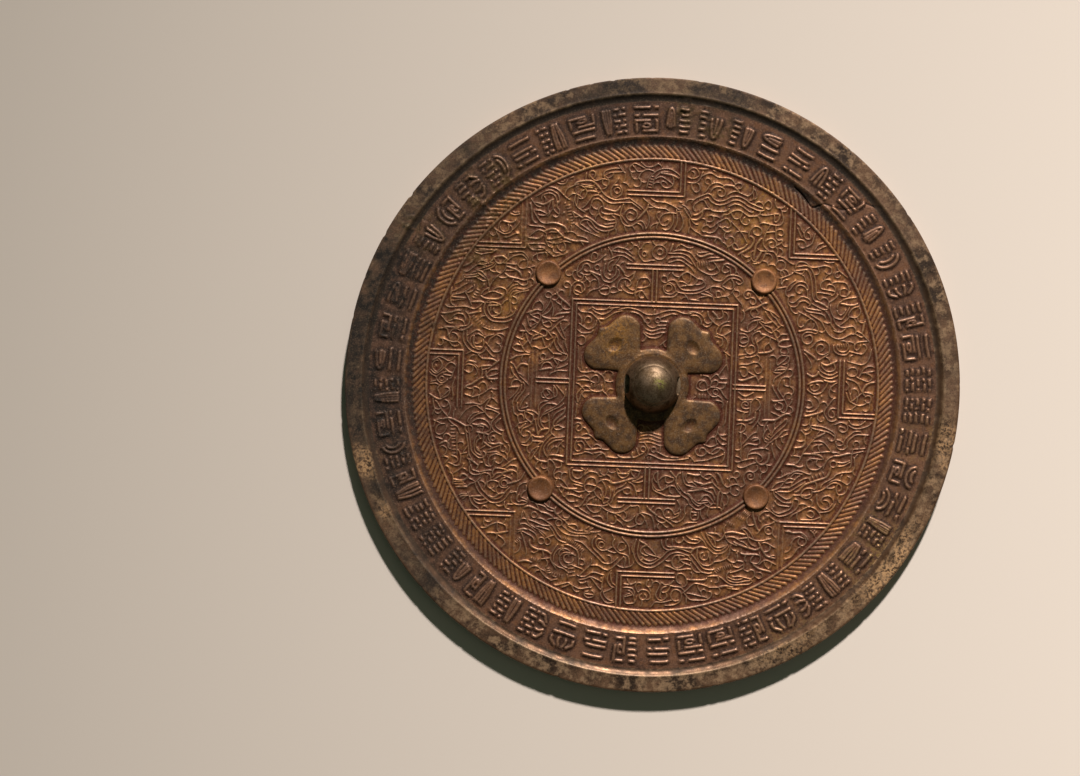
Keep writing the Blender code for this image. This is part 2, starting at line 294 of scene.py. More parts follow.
def keepClear():
    # the scrolls stay off the circles, the calyx and the bosses
    x, y = room.grid()
    r = np.hypot(x, y)
    shut = r > casting["borderLine"] - casting["ridgeHalfWidth"] - clearance["line"]
    shut |= np.abs(r - ringMiddle) < clearance["ring"] + clearance["line"]
    shut |= r < calyx["hub"] + clearance["hub"]
    rounds = [(place, boss["radius"] + clearance["line"]) for place in bossPlaces()]
    for angle in petalAngles:
        rounds += [(polar(angle + side * calyx["lobeAngle"], calyx["lobeDistance"]),
                    calyx["lobe"] + clearance["lobe"]) for side in (-1, 1)]
        rounds.append((polar(angle, calyx["pitDistance"]), clearance["petal"]))
    for place, reach in rounds:
        shut |= np.hypot(x - place[0], y - place[1]) < reach
    room.shut = shut
    room.taken |= shut


# How a seeded line runs on: the turns it tries, in radians per millimetre, and the gaps that stop it
growth = {
    "nudges": (0.0, 0.4, -0.4, 0.9, -0.9), "swings": (-0.3, -0.18, 0.18, 0.3), "sharpest": 1.1, "steady": 0.7,
    "markGap": 0.85, "ownGap": 0.85, "coilGap": 0.95, "meetGap": 0.22, "joinSteps": 7,
}


def stepAhead(x, y, heading, steps=1):
    reach = steps * thread["step"]
    return x + reach * math.cos(heading), y + reach * math.sin(heading)


def nearest(route, spot):
    return min(math.hypot(spot[0] - x, spot[1] - y) for x, y in route)


def runOn(start, heading, bend, swing, longest, own, path):
    # a line goes on past its end, keeps off its neighbours' sides and ends on the line that it meets
    step = thread["step"]
    spot, route, joining = start, [], 0
    for i in range(int(longest / step)):
        for nudge in growth["nudges"]:
            h = heading + (bend + nudge) * step
            if room.clear(*stepAhead(*spot, h, 4), own)[0] > thread["spacing"]:
                break
        else:
            h = heading + bend * step
            joining += 1
        ahead = stepAhead(*spot, h)
        gap, other = room.clear(*ahead, own)
        if room.shut[room.cellOf(*ahead)] or joining > growth["joinSteps"]:
            break
        if other in markNumbers and gap < growth["markGap"]:
            break
        if path is not None and len(path) > 8 and np.hypot(*(path - ahead).T).min() < growth["ownGap"]:
            break
        if i > 14 and nearest(route[:-8], ahead) < growth["coilGap"]:
            break
        heading, spot = h, ahead
        route.append(spot)
        if gap < growth["meetGap"]:
            break
        bend = max(-growth["sharpest"], min(growth["sharpest"], bend + swing * step))
    return np.array(route).reshape(-1, 2)


def headingAt(route):
    # the way in which a line ends, and how much it bends there
    route = np.asarray(route)
    k = min(4, len(route) - 1)
    last = route[-1] - route[-1 - k]
    angle = math.atan2(last[1], last[0])
    if len(route) < 3 * k + 1:
        return angle, 0.0
    before = route[-1 - 2 * k] - route[-1 - 3 * k]
    change = (angle - math.atan2(before[1], before[0]) + math.pi) % (2 * math.pi) - math.pi
    return angle, max(-growth["steady"], min(growth["steady"], change / (2 * k * thread["step"])))


def growEnds(numbers, longest):
    # the given lines run on at both ends until they meet another line
    for number in numbers:
        for _ in (0, 1):
            route, widths, height = threads[number]
            route = route[::-1]
            heading, bend = headingAt(route)
            swing = dice.choice(growth["swings"])
            more = runOn(route[-1], heading, bend, swing, longest, number, route[:-7])
            if len(more) > 2:
                whole = np.vstack([route, more])
                whole[-len(more) - 4:] = softened(whole[-len(more) - 4:].copy(), 2)
                room.stamp(more, thread["room"], number)
                widths = threadWidths(len(whole), max(widths) / thread["halfWidth"], True)
                threads[number] = (whole, widths, height)
            else:
                threads[number] = (route, widths[::-1], height)


# Short curls that leave a line
shoot = {
    "lean": 0.7, "hooks": 0.65, "hookBend": (0.2, 0.5), "hookSwing": (0.12, 0.4), "waveBend": (0.0, 0.2),
    "waveSwing": (0.25, 0.5), "shortest": 1.7, "parentGap": 0.7, "width": 0.92, "height": 0.95,
}


def branch(spot, longest):
    # a curl that leaves the nearest line towards a free spot
    number = room.clear(*spot)[1]
    if number < 0 or number in markNumbers:
        return
    route = threads[number][0]
    if len(route) < 8:
        return
    k = int(np.hypot(*(route - spot).T).argmin())
    k = max(2, min(len(route) - 3, k + dice.choice((-4, -2, 0, 2, 4))))
    along = route[k + 2] - route[k - 2]
    away = np.asarray(spot) - route[k]
    if np.dot(along, away) < 0 or (abs(np.dot(along, away)) < 0.2 and dice.random() < 0.5):
        along = -along
    side = 1 if along[0] * away[1] - along[1] * away[0] > 0 else -1
    heading = math.atan2(along[1], along[0]) + side * shoot["lean"]
    if dice.random() < shoot["hooks"]:
        bend, swing = side * dice.uniform(*shoot["hookBend"]), side * dice.uniform(*shoot["hookSwing"])
    else:
        bend, swing = side * dice.uniform(*shoot["waveBend"]), -side * dice.uniform(*shoot["waveSwing"])
    more = runOn(route[k], heading, bend, swing, longest, number, None)
    if len(more) * thread["step"] < shoot["shortest"]:
        return
    own = np.hypot(more[8:, None, 0] - route[None, :, 0], more[8:, None, 1] - route[None, :, 1])
    if own.size and own.min() < shoot["parentGap"]:
        return
    raiseThread(softened(np.vstack([route[k][None, :], more]), 2), shoot["width"], shoot["height"])


# Free curls: an eye with a long tail, and a twin line where there is room
curl = {
    "nudges": (0.0, 0.3, -0.3, 0.7, -0.7, 1.1, -1.1), "swings": (0.16, 0.3, 0.08), "sharpest": 1.3,
    "coilGap": 1.05, "pitch": 1.15, "fewestTurns": 0.7, "mostTurns": 1.9, "shortest": 3.2, "twins": 0.6,
    "width": (0.88, 1.1), "height": (0.9, 1.12), "bead": 0.4,
}


def growTail(start, heading, bend, swing, longest):
    # a tail that runs on while there is room, its bend swinging over to the other side
    step = thread["step"]
    route = [tuple(start)]
    for i in range(int(longest / step)):
        for nudge in curl["nudges"]:
            h = heading + (bend + nudge) * step
            ahead = stepAhead(*route[-1], h)
            if not room.at([ahead, stepAhead(*route[-1], h, 3)]).any():
                break
        else:
            break
        if i > 14 and nearest(route[:-8], ahead) < curl["coilGap"]:
            break
        heading = h
        route.append(ahead)
        bend = max(-curl["sharpest"], min(curl["sharpest"], bend + swing * step))
    return np.array(route)


def freeTwin(route, side, own):
    # the longest stretch of a parallel thread that has room, without counting the thread's own
    twin = offset(route, side * thread["double"])
    free = ~room.at(twin)
    gaps = np.hypot(twin[:, None, 0] - own[None, ::2, 0], twin[:, None, 1] - own[None, ::2, 1]).min(axis=1)
    free &= gaps > thread["double"] * 0.9
    best, run = (0, 0), 0
    for i, ok in enumerate(free):
        run = run + 1 if ok else 0
        if run > best[1] - best[0]:
            best = (i - run + 1, i + 1)
    return twin[best[0] + 1:best[1] - 1]


def curledThread(centre, radius, tail):
    # an eye with a bead, its thread let out into an S that fills what room there is
    hand = dice.choice((-1, 1))
    start = dice.uniform(0, 2 * math.pi)
    turns = max(curl["fewestTurns"], min(curl["mostTurns"], (radius - 0.1) / curl["pitch"]))
    spiral = eye(centre, radius, start, hand, turns)
    if room.at(spiral[:len(spiral) // 2]).any():
        return False
    back = spiral[0] - spiral[1]
    heading = math.atan2(back[1], back[0])
    best = np.array([spiral[0]])
    for swing in curl["swings"]:
        route = growTail(spiral[0], heading, -hand / radius, hand * swing, tail)
        if len(route) > len(best) * 1.15:
            best = route
    whole = softened(np.vstack([best[::-1], spiral[1:]]), 3)
    if len(whole) * thread["step"] < curl["shortest"]:
        return False
    twins = []
    if len(best) > 24 and dice.random() < curl["twins"]:
        twins = [freeTwin(whole[:len(best) + 10], side, whole) for side in (1, -1)]
        twins = [twin for twin in twins if len(twin) > 18]
    raiseThread(whole, dice.uniform(*curl["width"]), dice.uniform(*curl["height"]))
    if twins:
        raiseThread(max(twins, key=len), 0.85)
    if radius > 0.9:
        raiseBead(centre, curl["bead"])
    return True


def fillField(inner, outer, tries=1.0):
    # curls where there is room for them, then branches off the lines into the gaps that are left
    ringAngles = np.linspace(0, 2 * math.pi, 12, endpoint=False)
    ring = np.stack([np.cos(ringAngles), np.sin(ringAngles)], axis=1)
    probe = np.vstack([ring, ring * 0.6, [(0.0, 0.0)]])

    def spot():
        r = math.sqrt(dice.uniform(inner ** 2, outer ** 2))
        a = dice.uniform(0, 2 * math.pi)
        return r * math.cos(a), r * math.sin(a)

    for radius, tail, count in ((2.5, 17, 1500), (2.0, 15, 3000), (1.5, 14, 5000)):
        for _ in range(int(count * tries)):
            centre = spot()
            if not room.at(probe * (radius + 0.1) + centre).any():
                before = len(threads)
                if curledThread(centre, radius, tail):
                    growEnds([before], 1.4)
    for longest, count in ((5.5, 6000), (3.6, 6000)):
        for _ in range(int(count * tries)):
            centre = spot()
            if not room.at(centre):
                branch(centre, longest)


# A hair crack: chipped along the inner step, then thin across the inscription, as (angle, radius)
crack = {
    "places": [(33.6, 74.3), (36.3, 73.8), (39.7, 72.9), (40.7, 74.4), (41.5, 76.2), (43.2, 77.2),
               (45.2, 78.8), (46.5, 81.9), (47.1, 84.8), (48.6, 86.2), (50.2, 88.1)],
    "thin": 0.45, "step": 74.6, "halfWidth": 0.24, "depth": 0.42, "dark": 1.9,
}


def crackRoute():
    return smoothRoute([polar(a, r) for a, r in crack["places"]])


# The beasts, clouds and scrolls as flowing lines, read from the photograph against a millimetre grid.
# A separate program then dropped doubles, cut the lines where they met other forms, thinned their points,
# rounded them and wrote this list. A line has its kind, its first point and the steps to its next points,
# across and outward from the middle, in tenths of a millimetre; as in an SVG path, a minus sign needs no space
# before it. The numbers before the colons are angles clockwise from the top, one for each part of the field. t
# thread, w wide one, f fine one, d double one, r ring, b bead, k short strokes across a line
drawn = {
    0: """
t-92 664 7 6 9 3 24-11 t-75 656 6-7 9 0 t-60 678 16-13 20 0 18 11 t-54 649 8 5 10 2 10-2 t-41 598 7 27 5 9
t-24 641 15 13 19 6 20 0 18-9 8-6 t84 621 18-1 9 2 7 6 t-22 599 5 29 19 21 10 2 k-30 601 6 34 5 11 w13 645
22-3 11-4 t-8 632 8 3 9-1 18-11 t42 623-2-11-9-8-12-2-10 4-5 8 3 8 9-2 t88 658 10 8 11-2 6-6 t100 602 8-9 9 1
6 8-1 9 t85 638 10-4 10 0 9 5 t-39 560 27-18 32-4 11-6 t-19 564 13-5 26-2 23-9 9-5 t-68 509-8-8-11-2-9 7-1 10
8 6 9-3 t-114 533-3-18 4-18 9-12 12-4 12 2 18 13 9 2 8-5 5-9 w-56 513 11 13 t24 503 6 3 2-7-5-9-10-3-10 4-4 10
3 12 10 9 14 4 14 0 t-34 525 5-13 1-14-3-11 d50 524 2-16-2-14-6-12 t92 520 6-9 t83 546 9-9 4-8 t96 496 3-10
9-9 t72 514 4-16-4-15 k64 530 2 30 3 12 t-77 557 15-10 t-76 548 10-7 t-248 559-1-11 t-217 549 6 9 t-119 655
7-8 f-106 649 0-11 t-226 624 1 10 t-275 620 11 5 f-262 538 0-12 t-98 229 18 3 30-6 26-12 28 2 26 10 30 3 26-7
12-1 t-62 219 12-4 9-6 6-8 t26 209 24 9 12 0 r-21 195 8 r9 198 8 t-18 179 8-4 9 0 7 4 t-28 170 20-6 28 8 t-28
159 20-6 20 5 t-23 149 9-5 20-1 10 4 w28 194 11 0 w26 182 9 1 w27 172 7 1 w21 160 12 1 t26 128 8 7 t116 216 11
0 9-5 5-8 t108 226 12 1 12-3 t145 231-4-6 t162 226 3-11 16-18 9-6 t199 210 7 4 2 7-1 8 w188 218 5-6 t190 164 0
11 11 16 19 10 10 0 t202 174 5 10 8 5 9 1 t201 160 11-1 16 10 t203 125 5 5 2 7-1 8 t186 154 10-1 7-3 b194 138
5 t214 111 16-11 t222 146 4-11-2-11 f223 90 2-16 t204 42 12 18 t186 34 9 6 7-6 t206 27 22 0 t207 14 21 0 t178
6 4 10 10 6 8-4-1-9 t136 9 5 8 9 3 10-2 6-8 b148 34 4 t160 34 10-2 6-8 t134-3 9-6 10-3 10 2 r194-14 8 t174-4 8
4 23-4 13-17 8-9 t206-28 8-7 4-11 t174-20 9-8 11-1 k134-27 40-4 5 12 t-231 221 8-6 21-1 10-3 16-14 t-150 197
27 18 10 4 w-170 195 14 0 t-186 227 10-4 24 1 10 6 t-179 214 20-5 19 8 8 7 t-232 207 9-12 1-8 t-213 194 6 7
10-1 5-8-4-9-9-2 t-231 180 25-16 9-1 9 4 t-229 156 7-5 9-1 t-227 140 8 2 8-4 3-9-3-9-8-5-8 2-5 7 f-229 96 0-28
f-220 74 1-12 b-202 43 4 t-226 40 7-8 18-1 9 2 t-182 35 7-3 8 1 t-182 19 8 4 8-3 3-8 t-159 26 8-6 5-9 t-215 18
9 2 9-4 t-214 7 20-1 10-3 t-232-3 9-3 7-7 t-229-43 1 9 12 15 t-211-14 8 3 9-2 t-219-48 3 10 6 8 w-204-26 8 0
k-186-8 42-4 5 11 t-184-23 12-4 12 1 t-149-25 7-6 f-35-150 28 6 27-6 f-33-159 29 6 28-8 f-34-169 29 5 29-8
10-1 f-33-178 31 3 30-9 r-20-197 8 r12-197 8 t-40-195 4-11 t32-192-1-11 t-9-189 5-9-1-10 t32-208 17-8 10-2
t12-216 26-10 32-1 20 2 14 2 w64-219 14 0 t-26-213-17-9-10-2 w-58-224-14-1 k-16-225 20-1 3 8 t143-189-4-9 5-9
10-4 11 2 7 8-2 10-8 5-8-2-2-7 t174-179 9-3 10 2 t181-158 5 5 7 1 t200-155 2-10 b198-149 4 t192-194 8 7 10 3
10-3 t184-219 26 9 t114-213 10-1 6-6 t205-134 3 14 t210-144 6-9 8-5 t228-196 1-12-3-10 t228-88 0 16 t212-167
7-7 9 1 t183-202 10-2 10 4 t146-227 24 3 t-229-192 0-10 7-8 9 1 4 9-6 7 t-228-221 21 4 10 5 11-1 w-226-170 12
1 t-219-182 10 2 7-6 t-210-164 8 5 9 2 9-3 t-232-130 8 6 10-2 5-8-2-10-8-5-7 5 3 7 w-232-112 7 1 7-1 w-181-204
9 1 t-156-199 10-2 t-170-215 21 4 9-4 t-122-225 10-1 t-229-96 2 30 t-194-182 8-10 t-132 229 14 2 t-242 340 3
14 7 10 10 6 12 2 10-4 10-1 10 5 t-233 340 6 7 3 9 6 5 8 0 6-7 t-254 322 7-10 10-3 9 2 5 8 d-253 288 7 10 10 3
9-3 5-8 t-235 275 8-3 6 6 r-181 352 8 t-200 386 4 9 8 1 7-6-1-10-6-4 w-194 336 8-3 t-190 328 12-11 3-8 b-159
374 5 t-160 334 4-9 14-7 13 9 t-169 330 4-11 7-8 20-3 16 12 b-142 330 4 t-149 357 1-11 6-5 6 5 2 10 5 6 w-124
361 9-3 12-13 t-136 382 18 8 19-2 25-15 t-93 397 20-12 6-8 k-170 404 20-2 3 12 t-150 415 7-10 t-130 412 11 4
23-5 9-6 t-129 403 27-3 t-98 334 6-5 8-1 14 10 t-117 303 5 11 7 6 9 2 9-2 8-6 3-8-6-7-8-1-3 6 t-94 283 10-5
11-2 9 3 5 19 t-54 316 5 8 18 2 8-4 5-8 t-19 307-4-7-16-5-9-1 b-36 311 6 t-56 282 8 3 8-1 14-19 t-173 282 5-9
18-4 8 7 2 8 w-153 288 7 1 t-198 280 8 4 10 2 8 4 r-39 398 7 t-54 392 10-14 8-3 r7 405 22 r8 406 9 t49 403 27
0 22-9 14-18 t60 413 14 1 26-6 17-18 t53 392 23 0 20-12 t64 383 12-2 19-12 t76 430 8-4 w47 432-2-7 w148 401 10
4 8 0 t142 410 14 2 t176 395 10 0 w176 385 22 3 w208 376 7 2 15-5 t204 371-4-8 0-8 7-5 8 2 t214 369 9-6 3-9
k130 372 29 5 5 14 t124 366 4-8 18-10 22-6 20 7 3 8-5 7-5 8 t166 337 8-8 11-4 12 0 9 5 7 8 11 5 12 1 11-2 t205
316 17 15 12 3 12-2 t202 310 17-8 11-1 7 6 0 11 t78 340 8 5 11 2 28-17 11-2 9-5 5-9-3-10-19-9-24-3-24 2-13
13-5 9-8 6-10-1 t104 308 9 1 7 6 t51 308 7-7 3-10 8-6 29-3 30 3 27 13 18 9 20-1 t24 290 4-7 10-4 11 0 8 5 t28
269 24 1 10 6 r38 298 11 t93 274 5-6 2-6 w106 264 14-1 t126 266 8 5 9 3 w153 280 7-1 t163 286 7-4 5-8 t184 284
1 8 9 1 5-7 t180 273 12 1 12 4 12 1 8 4 t229 286 5 7 t244 278 6-7""",
    22.5: """
t-132 664 13 6 t-105 672 9 0 t-121 651 9 8 10 3 22-2 30 11 11-1 w-44 650 16 4 16-5 t-26 634 8 7 9 3 23 0 10 1
6 7 d-106 576 16 17 8 3 16-8 20 1 18 13 13 16 19 9 22-1 10-3 24 0 t-111 558 6 10 8 7 9 1 15-11 19-5 22 7 t-84
606 1 12 6 10 9 6 11 2 10-3 6-9-2-10-9-5-10 4-2 9 7 4 t-93 627 7 11 12 6 13 1 t6 587 9 6 12 2 23-5 9 3 9 4
t-22 538 14 17 10 0 8-5 t22 549 31-13 17-12 t76 558 6 11 12 4 12-4 4-11-6-9-14-1-4 7 w-83 545 4 8 7 4 w-96 510
8 3 6 7 3 8 t-59 506 8 7 9-3 8 5 4 9 w-48 478 20 7 13 4 t-31 496 8 8 3 12 t80 646 6 12 9 0 7-8 t110 659 10-8
11 2 w70 487 10 11 4 12 w88 492 8 12 3 14 t4 608 12 2 14-2 t42 490 6 8 6-2 t5 572 11-6 11 4 5 10 t108 620 6 4
t123 586-2-10 t121 567 1-9""",
    45: """
t-60 659 10 1 9-3 t-50 650 12-4 t-25 656 6-7 9-2 8 4 3 7-6 5 t4 670 10-18 0-11 t-23 622 5 10 9 6 11-1
7-7-3-10-9-4-8 3 t33 650-2 11 3 10 t43 656 3 10 t30 572-1 10 7 9 10 6 22 4 13 16 10 16 17 10 7-3 d41 565 17 23
18 1 22-10 20-15 8-7 t46 554 16 10 0 8 t86 644 8 5 6 8 t32 518 8 20 1 10 t44 480 10 16 t70 529 3 11 7 9 10 5
10-1 t119 536-11 7-13 1-11-6-4-10 6-10 10-2 7 7-4 9 t61 523-1-10 3-10 t130 528-11-5-8-9-1-21-3-9-8-4 t125
512-5-11 3-13-4-10-9-6-10 1-8 6 t-105 641 9-7 4-10-2-10-16-14-9-6 t-126 625 8-6 5-7 6 3 0 9 t-94 601 12-11
t-100 577 7 9 t-71 581 9 1 5 7 5 2 2-9-2-10 t-85 562 6 9 11 3 10-4 4-9-4-9-10-2-6 6 4 7 t-96 554 6-10 10-6
11-1 t-61 534 16 13 18-3 r-1 535 15 t-24 550 10 6 11 3 w-95 518 13-18 w-66 501 2-10 t-57 520 5-12 2-13-4-9
t-80 485 11-3 9 4""",
    67.5: """
t-117 662 17 10 t-97 643 10 18 18 4 10-4 t-73 648 1-9 15-6 9 14-2 9 t-40 652-1-12 2-11 t-97 618 6 6 9 2 8-3
d-86 590 12 20 t-117 604 3-11 6-6 10-3 w-17 653 3 11-1 10 t-5 674-2-11 2-12 7-10 t16 670 5-7 2-9-8-17 t52
640-8-6-6-29-14-13-10-3 t-4 637 13-17 4-10-10-15-9-5-12-1 t-1 621 1-8-7-5-10 0 t-50 601 2-8 6-5 w-59 565 14 13
9 4 t66 613 2-23-8-18-17-13-23-5-23-4-19-14 t-32 516 22 16 18 3 t-39 532 10 18 t-57 548 13 11 t-49 534 9 16
t50 520 1 12 9 11 13 5 13-4 t94 534 1-12-6-11-11-5-11 3-5 10 4 10 9 2 6-7 t99 536 5-24 w5 493 1 10 4 9 t16
506-3-12 5-12 12-5 12 3 6 10-3 12-10 6-10-4-1-10 w62 472 22 16 t83 473 11 3 t101 655-5-22 4-11 10-5 8 6-4 9
w59 665 7-4 t76 654 30 13 t81 599 11 5 11-4 6-10-2-12-8-9-12-2-7 7 t117 593 2-9-7-16-6-6 k87 576 5 21 4 10
t-11 579 14 1 12-4 12 2 t46 609 3-11-4-12 t23 618 3-10 t-43 494 8-8 9-4""",
    90: """
t-130 647 8-6 4-9-6-32 t-104 657 10-6 7-10 1-11-5-23 t-66 669 5-26 t-56 662 7 7 9-3 5-10-7-22 w-30 662 6-10
10-7 t-1 656 2 12 4 7 t17 668-7-2-2-8 5-9 t-80 653 8-11 25-13 t-76 609 2 10 11 5 11-5 3-11-2-10-7-6 t-39 602 5
14 8 11 10 6 t7 633 15-17 t37 644 2-14-11-25-10-6 t-6 600 20 6 t46 616 5-5 6 2 t-29 594 10 6 10-5 t86 654
12-16 1-20-5-9-8-5 t103 657 6-17 1-16-3-10 t94 588 5 9 10 4 10-5 3-12-7-10-9 2 1 9 t85 565 5-9
0-10-5-8-18-10-10 1-25 17 t52 563-2-10 5-9 9-4 10 2 5 9-5 8-9-2 w-88 549 4-8 t-82 553 10 3 8-6 3-11-2-11-7-9
t-56 557 5-10 0-14-5-13 t-47 560 6-12 1-15-3-11 w-31 555 2-9-1-9 t-21 553 8-8 10-4 w-47 497 3-10-4-10 w-28 494
3-10 5-8 t-2 502 2-10-6-8-9-2-4 8 t-10 527 13-10 6-14-1-13-6-10 b16 518 5 t24 506 10 6 10-2 w69 504 6-22 t52
505 8-9 3-10 b-96 504 4 t36 489 10 3 6-8 w-153 406 1-8 w-133 412 3-8 0-10 w-159 373 6 3 t-99 383-5 8 0 19 7 6
8-2 t-89 399 10-13 w-61 392 1-8 t-64 408 9-7 11-16 t-69 398 0-12 5-9 t-51 382 0-8-3-6 t-40 406 1 9 7 5
19-2-1-14-6-2 t-36 394 22-10 12 1 w-111 338 1-8 t-81 312 2 10 15 12 10-2 6-6 1-8-5-5 t-81 306 7-16 1-20 3-7
t-64 270 0 10 5 7 18 0 5-7-3-7-13-7 t-43 306 4 8 7 5 w-34 302 6-15 t-120 309 8-1 7-13-2-7 t-124 319 12 0 9-6
5-9 2-10 f-104 282 3-18 f-93 280 3-17 t-184 304 10-14 1-10-5-17 t-172 309 6-7 8-4 10 1 t-166 264 0 10 5 9 10 5
10 0 9-4 5-8-1-9 t-139 279 2-8-4-7-7-1-5 6 t-224 273 9-1 13-9 t-216 324-3-10 2-10 t-210 316 4-16 4-6 w-204 352
2-6 t-200 339-6-15 t-196 327 11 10 t-229 356 7 6 4 7 7 5 t-238 352 5 11 8 10 t-212 355 12 13 t-190 350 4 7 6 3
t-176 348 4 8-1 6 w-173 324 5 3 2 8 t-186 323 4-7 t-163 346 7 16 t-156 332 6-7 t-189 378 7-8 w-250 314 5-10
w-246 294 4-10 6-8 t-146 354 6-1 6 3 t4 387 23 16 17 9 10 1 t6 375 22 14 w34 389 1-7 t40 391 5 9 10 0
6-8-1-10-7-6-8 2 w80 398 12-17 2-10 t76 382-3-7 t27 337-1-10 1-10 7-8 t39 328 9 4 10-4 w72 318 12 0 t64 329 9
3 18-3 8-4 t15 304 8-16-1-10-5-8 t34 299 1-10 t39 302 23 0 t50 284 3 8-7 3-5-7 2-9 9-5 8 5 2 9 t71 296
2-10-5-20 w95 303 3-10 0-23 t108 273 1 9 6 7 9 0 7-6 t122 274 7-1 w143 276 9 0 t160 276 12 2 22 0 t149 300
14-12 t149 320 2 10 9 5 8-3 3-10-3-20 4-10 t180 342 4-23 4-11 8-6 t160 312-4 11 w224 356 5-7 1-10-4-7 t213 320
0-10 5-18 t200 335-4-11 1-10 t232 306 4-8 t209 270 5 9 8 0 3-8 t122 419 4-14 21-19 4-7 6-7 t134 419 4-8 t114
403 15-16 15-14 t104 396 16-17 8-5 t124 362 8 4 6-5 t108 350 8-4 10 0 k138 364 22-12 4 11 t166 362 8-8 t132
348 8-4 8 1 t188 375 20 7 t176 392 8 9""",
    112.5: """
t-132 653 11-24 17-11 t-131 625 7-8 18-9 t-93 500-8 30 1 30 5 10 8 4 t-94 485 7 6 3 11-6 31-3 14 1 12 t-85 670
12-16 t-91 664 10-18 t-76 639 13 2 14 5 t-45 659 13 6 14 0 8-6 11-20 15-16 11-3 19-14 t-38 647 17-12 11-17
r-11 603 10 t-33 636 6-8 4-10 w-48 617 7-9 5-10 t-32 592 8-7 12-5 15-1 w23 602 13-4 20-21 17-18 9-9 8-4 k29
589 33-33 5 12 t37 643 1-10 7-10 25-15 10-8 8-11 t27 639 3-10 7-8 t54 642 9 6 4 8-4 9 t97 654-9-5-5-10 0-10
6-9 t112 648 10-6 5-11-1-11-6-9 t109 658 14-6 10-12 t86 567 5-8 8-6 9-2 t120 561-1 9-4 8-8 4-9-1-8-4 w102 577
12-12 t8 575 16-9 8-17-1-9-5-8 t-50 570-7-14-2-14 5-14 w-15 540 8-20 t-7 559 7-21 w-75 531 12-10 t-58 519 15-6
18-4 17-4 17-1 t-34 564 14-24 t-61 478 6 10 10 5 9-4 5-10 w-15 489 6-10 t12 496 3-11 5-9 w42 494 5-14 t50 524
3-12 7-9 10-7 t60 517 4-9 7-4 t82 508 4-11 8-5 t96 505 7-10 t74 489 9-7""",
    135: """
w-30 658 1-12 5-10 16-14 5-10 8-7 t-25 658 3 9 9 6 10-2 5-8-2-9-7-4 t-18 652 4-8 8-4 t29 652 9 2 12-3 t29 670
18 2 18-7 t63 620 5-18 w85 643 11-17 3-10-3-19-3-10 t98 653 7-19 6-8 10-3 r41 567 12 b42 566 5 b15 533 6 b30
531 6 t30 553 8-5 8-1 t5 564 3-14 t-76 572 16 4 30-7 21-15 6-23 t-60 561 12 2 26-10 9-8 3-9 t-66 552 16-17
5-20 t-55 557 13-15 t-70 538 8-6 5-18 b-19 524 4 t-77 620-5 8-10-1-4-9 4-9 9-2 t-108 630 0-14 5-12 9-9 26-7
10-3 t-93 641 10-4 9-7 d-130 527 30-6 12-3 15-14 t-95 512 15-10 t-124 508 13 2 t-88 492 12 2 12-2 10-5 t-84
482 10-4 12 0 k-59 670 2-21 4 9 t-49 676-4-10 1-14 t23 514-11 2-8 6 w58 527-10-20 t69 520 7-8-4-10 k56 494
2-20 5 9 k76 488 6-18 4 9 t114 532 6-4 t80 574 10-10 6-12 t-105 556 19-18""",
    157.5: """
w-128 651 16-11 8-10 t-118 620 10 2 14-12-4-8 w-112 593 10-4 w-112 576 17-13 18-16 w-95 519 19-12 12-4 t-52
501 6 5 t-65 652 17-11 8-3 t-60 660 30-6 19-14 2-10-4-9 t-46 667 26-9 11-8 7-10 t-44 649 12-3 10-6 b-27 634 5
t-71 614 6 7 21 1 12-1 t-63 612 9 2 8-4 k-39 601 39-2 7 10 k5 599 11 5 3 9 w-73 603 7-5 t14 616 14-5 t-40 566
8 7 14 3 15-1 12-3 12 4 12 0 11-6 7-10 3-12-1-12-4-9 t22 551 8 6 10-3 5-10-4-10-10-1 b32 544 4 f-38 551 10 4
12 0 12-4 9-7 11-24 1-14 5-12 f-36 543 12 3 11-2 9-6 10-20 8-26 t-22 537 10-4 8-9 5-23 t-13 515 1-13 5-8 w-13
487 9-4 w26 519 7-4 10-2 d40 592 14-11 9-26 9-27 t64 586 8-4 6-8 2-11 w73 504 23-11 12-6 t30 647 22-8 6-7
20-14 15-5 29 11 w48 611 11 1 24-8 12-5 t62 670 12 2 24-8 22-11 9-23 t92 651 16-11 w-6 658 8-5 10-3 t-18 671
8-4 b39 625 4 t109 600-2-14 7-14 12-4 8 6 k-84 488 15-14 4 10 t-59 588 9 7 9-3 b-69 568 4 t-62 540 8-8 4-9
t-82 534 8-10 10-6 t30 498 12 2 22-11 7-10 t44 487 8-4 6-8 t-100 556 6-10 8-6 t-126 538 1-9 3-9 t-111 546-2-16
3-12 t76 544 9-8 10-4 t83 556 8-7""",
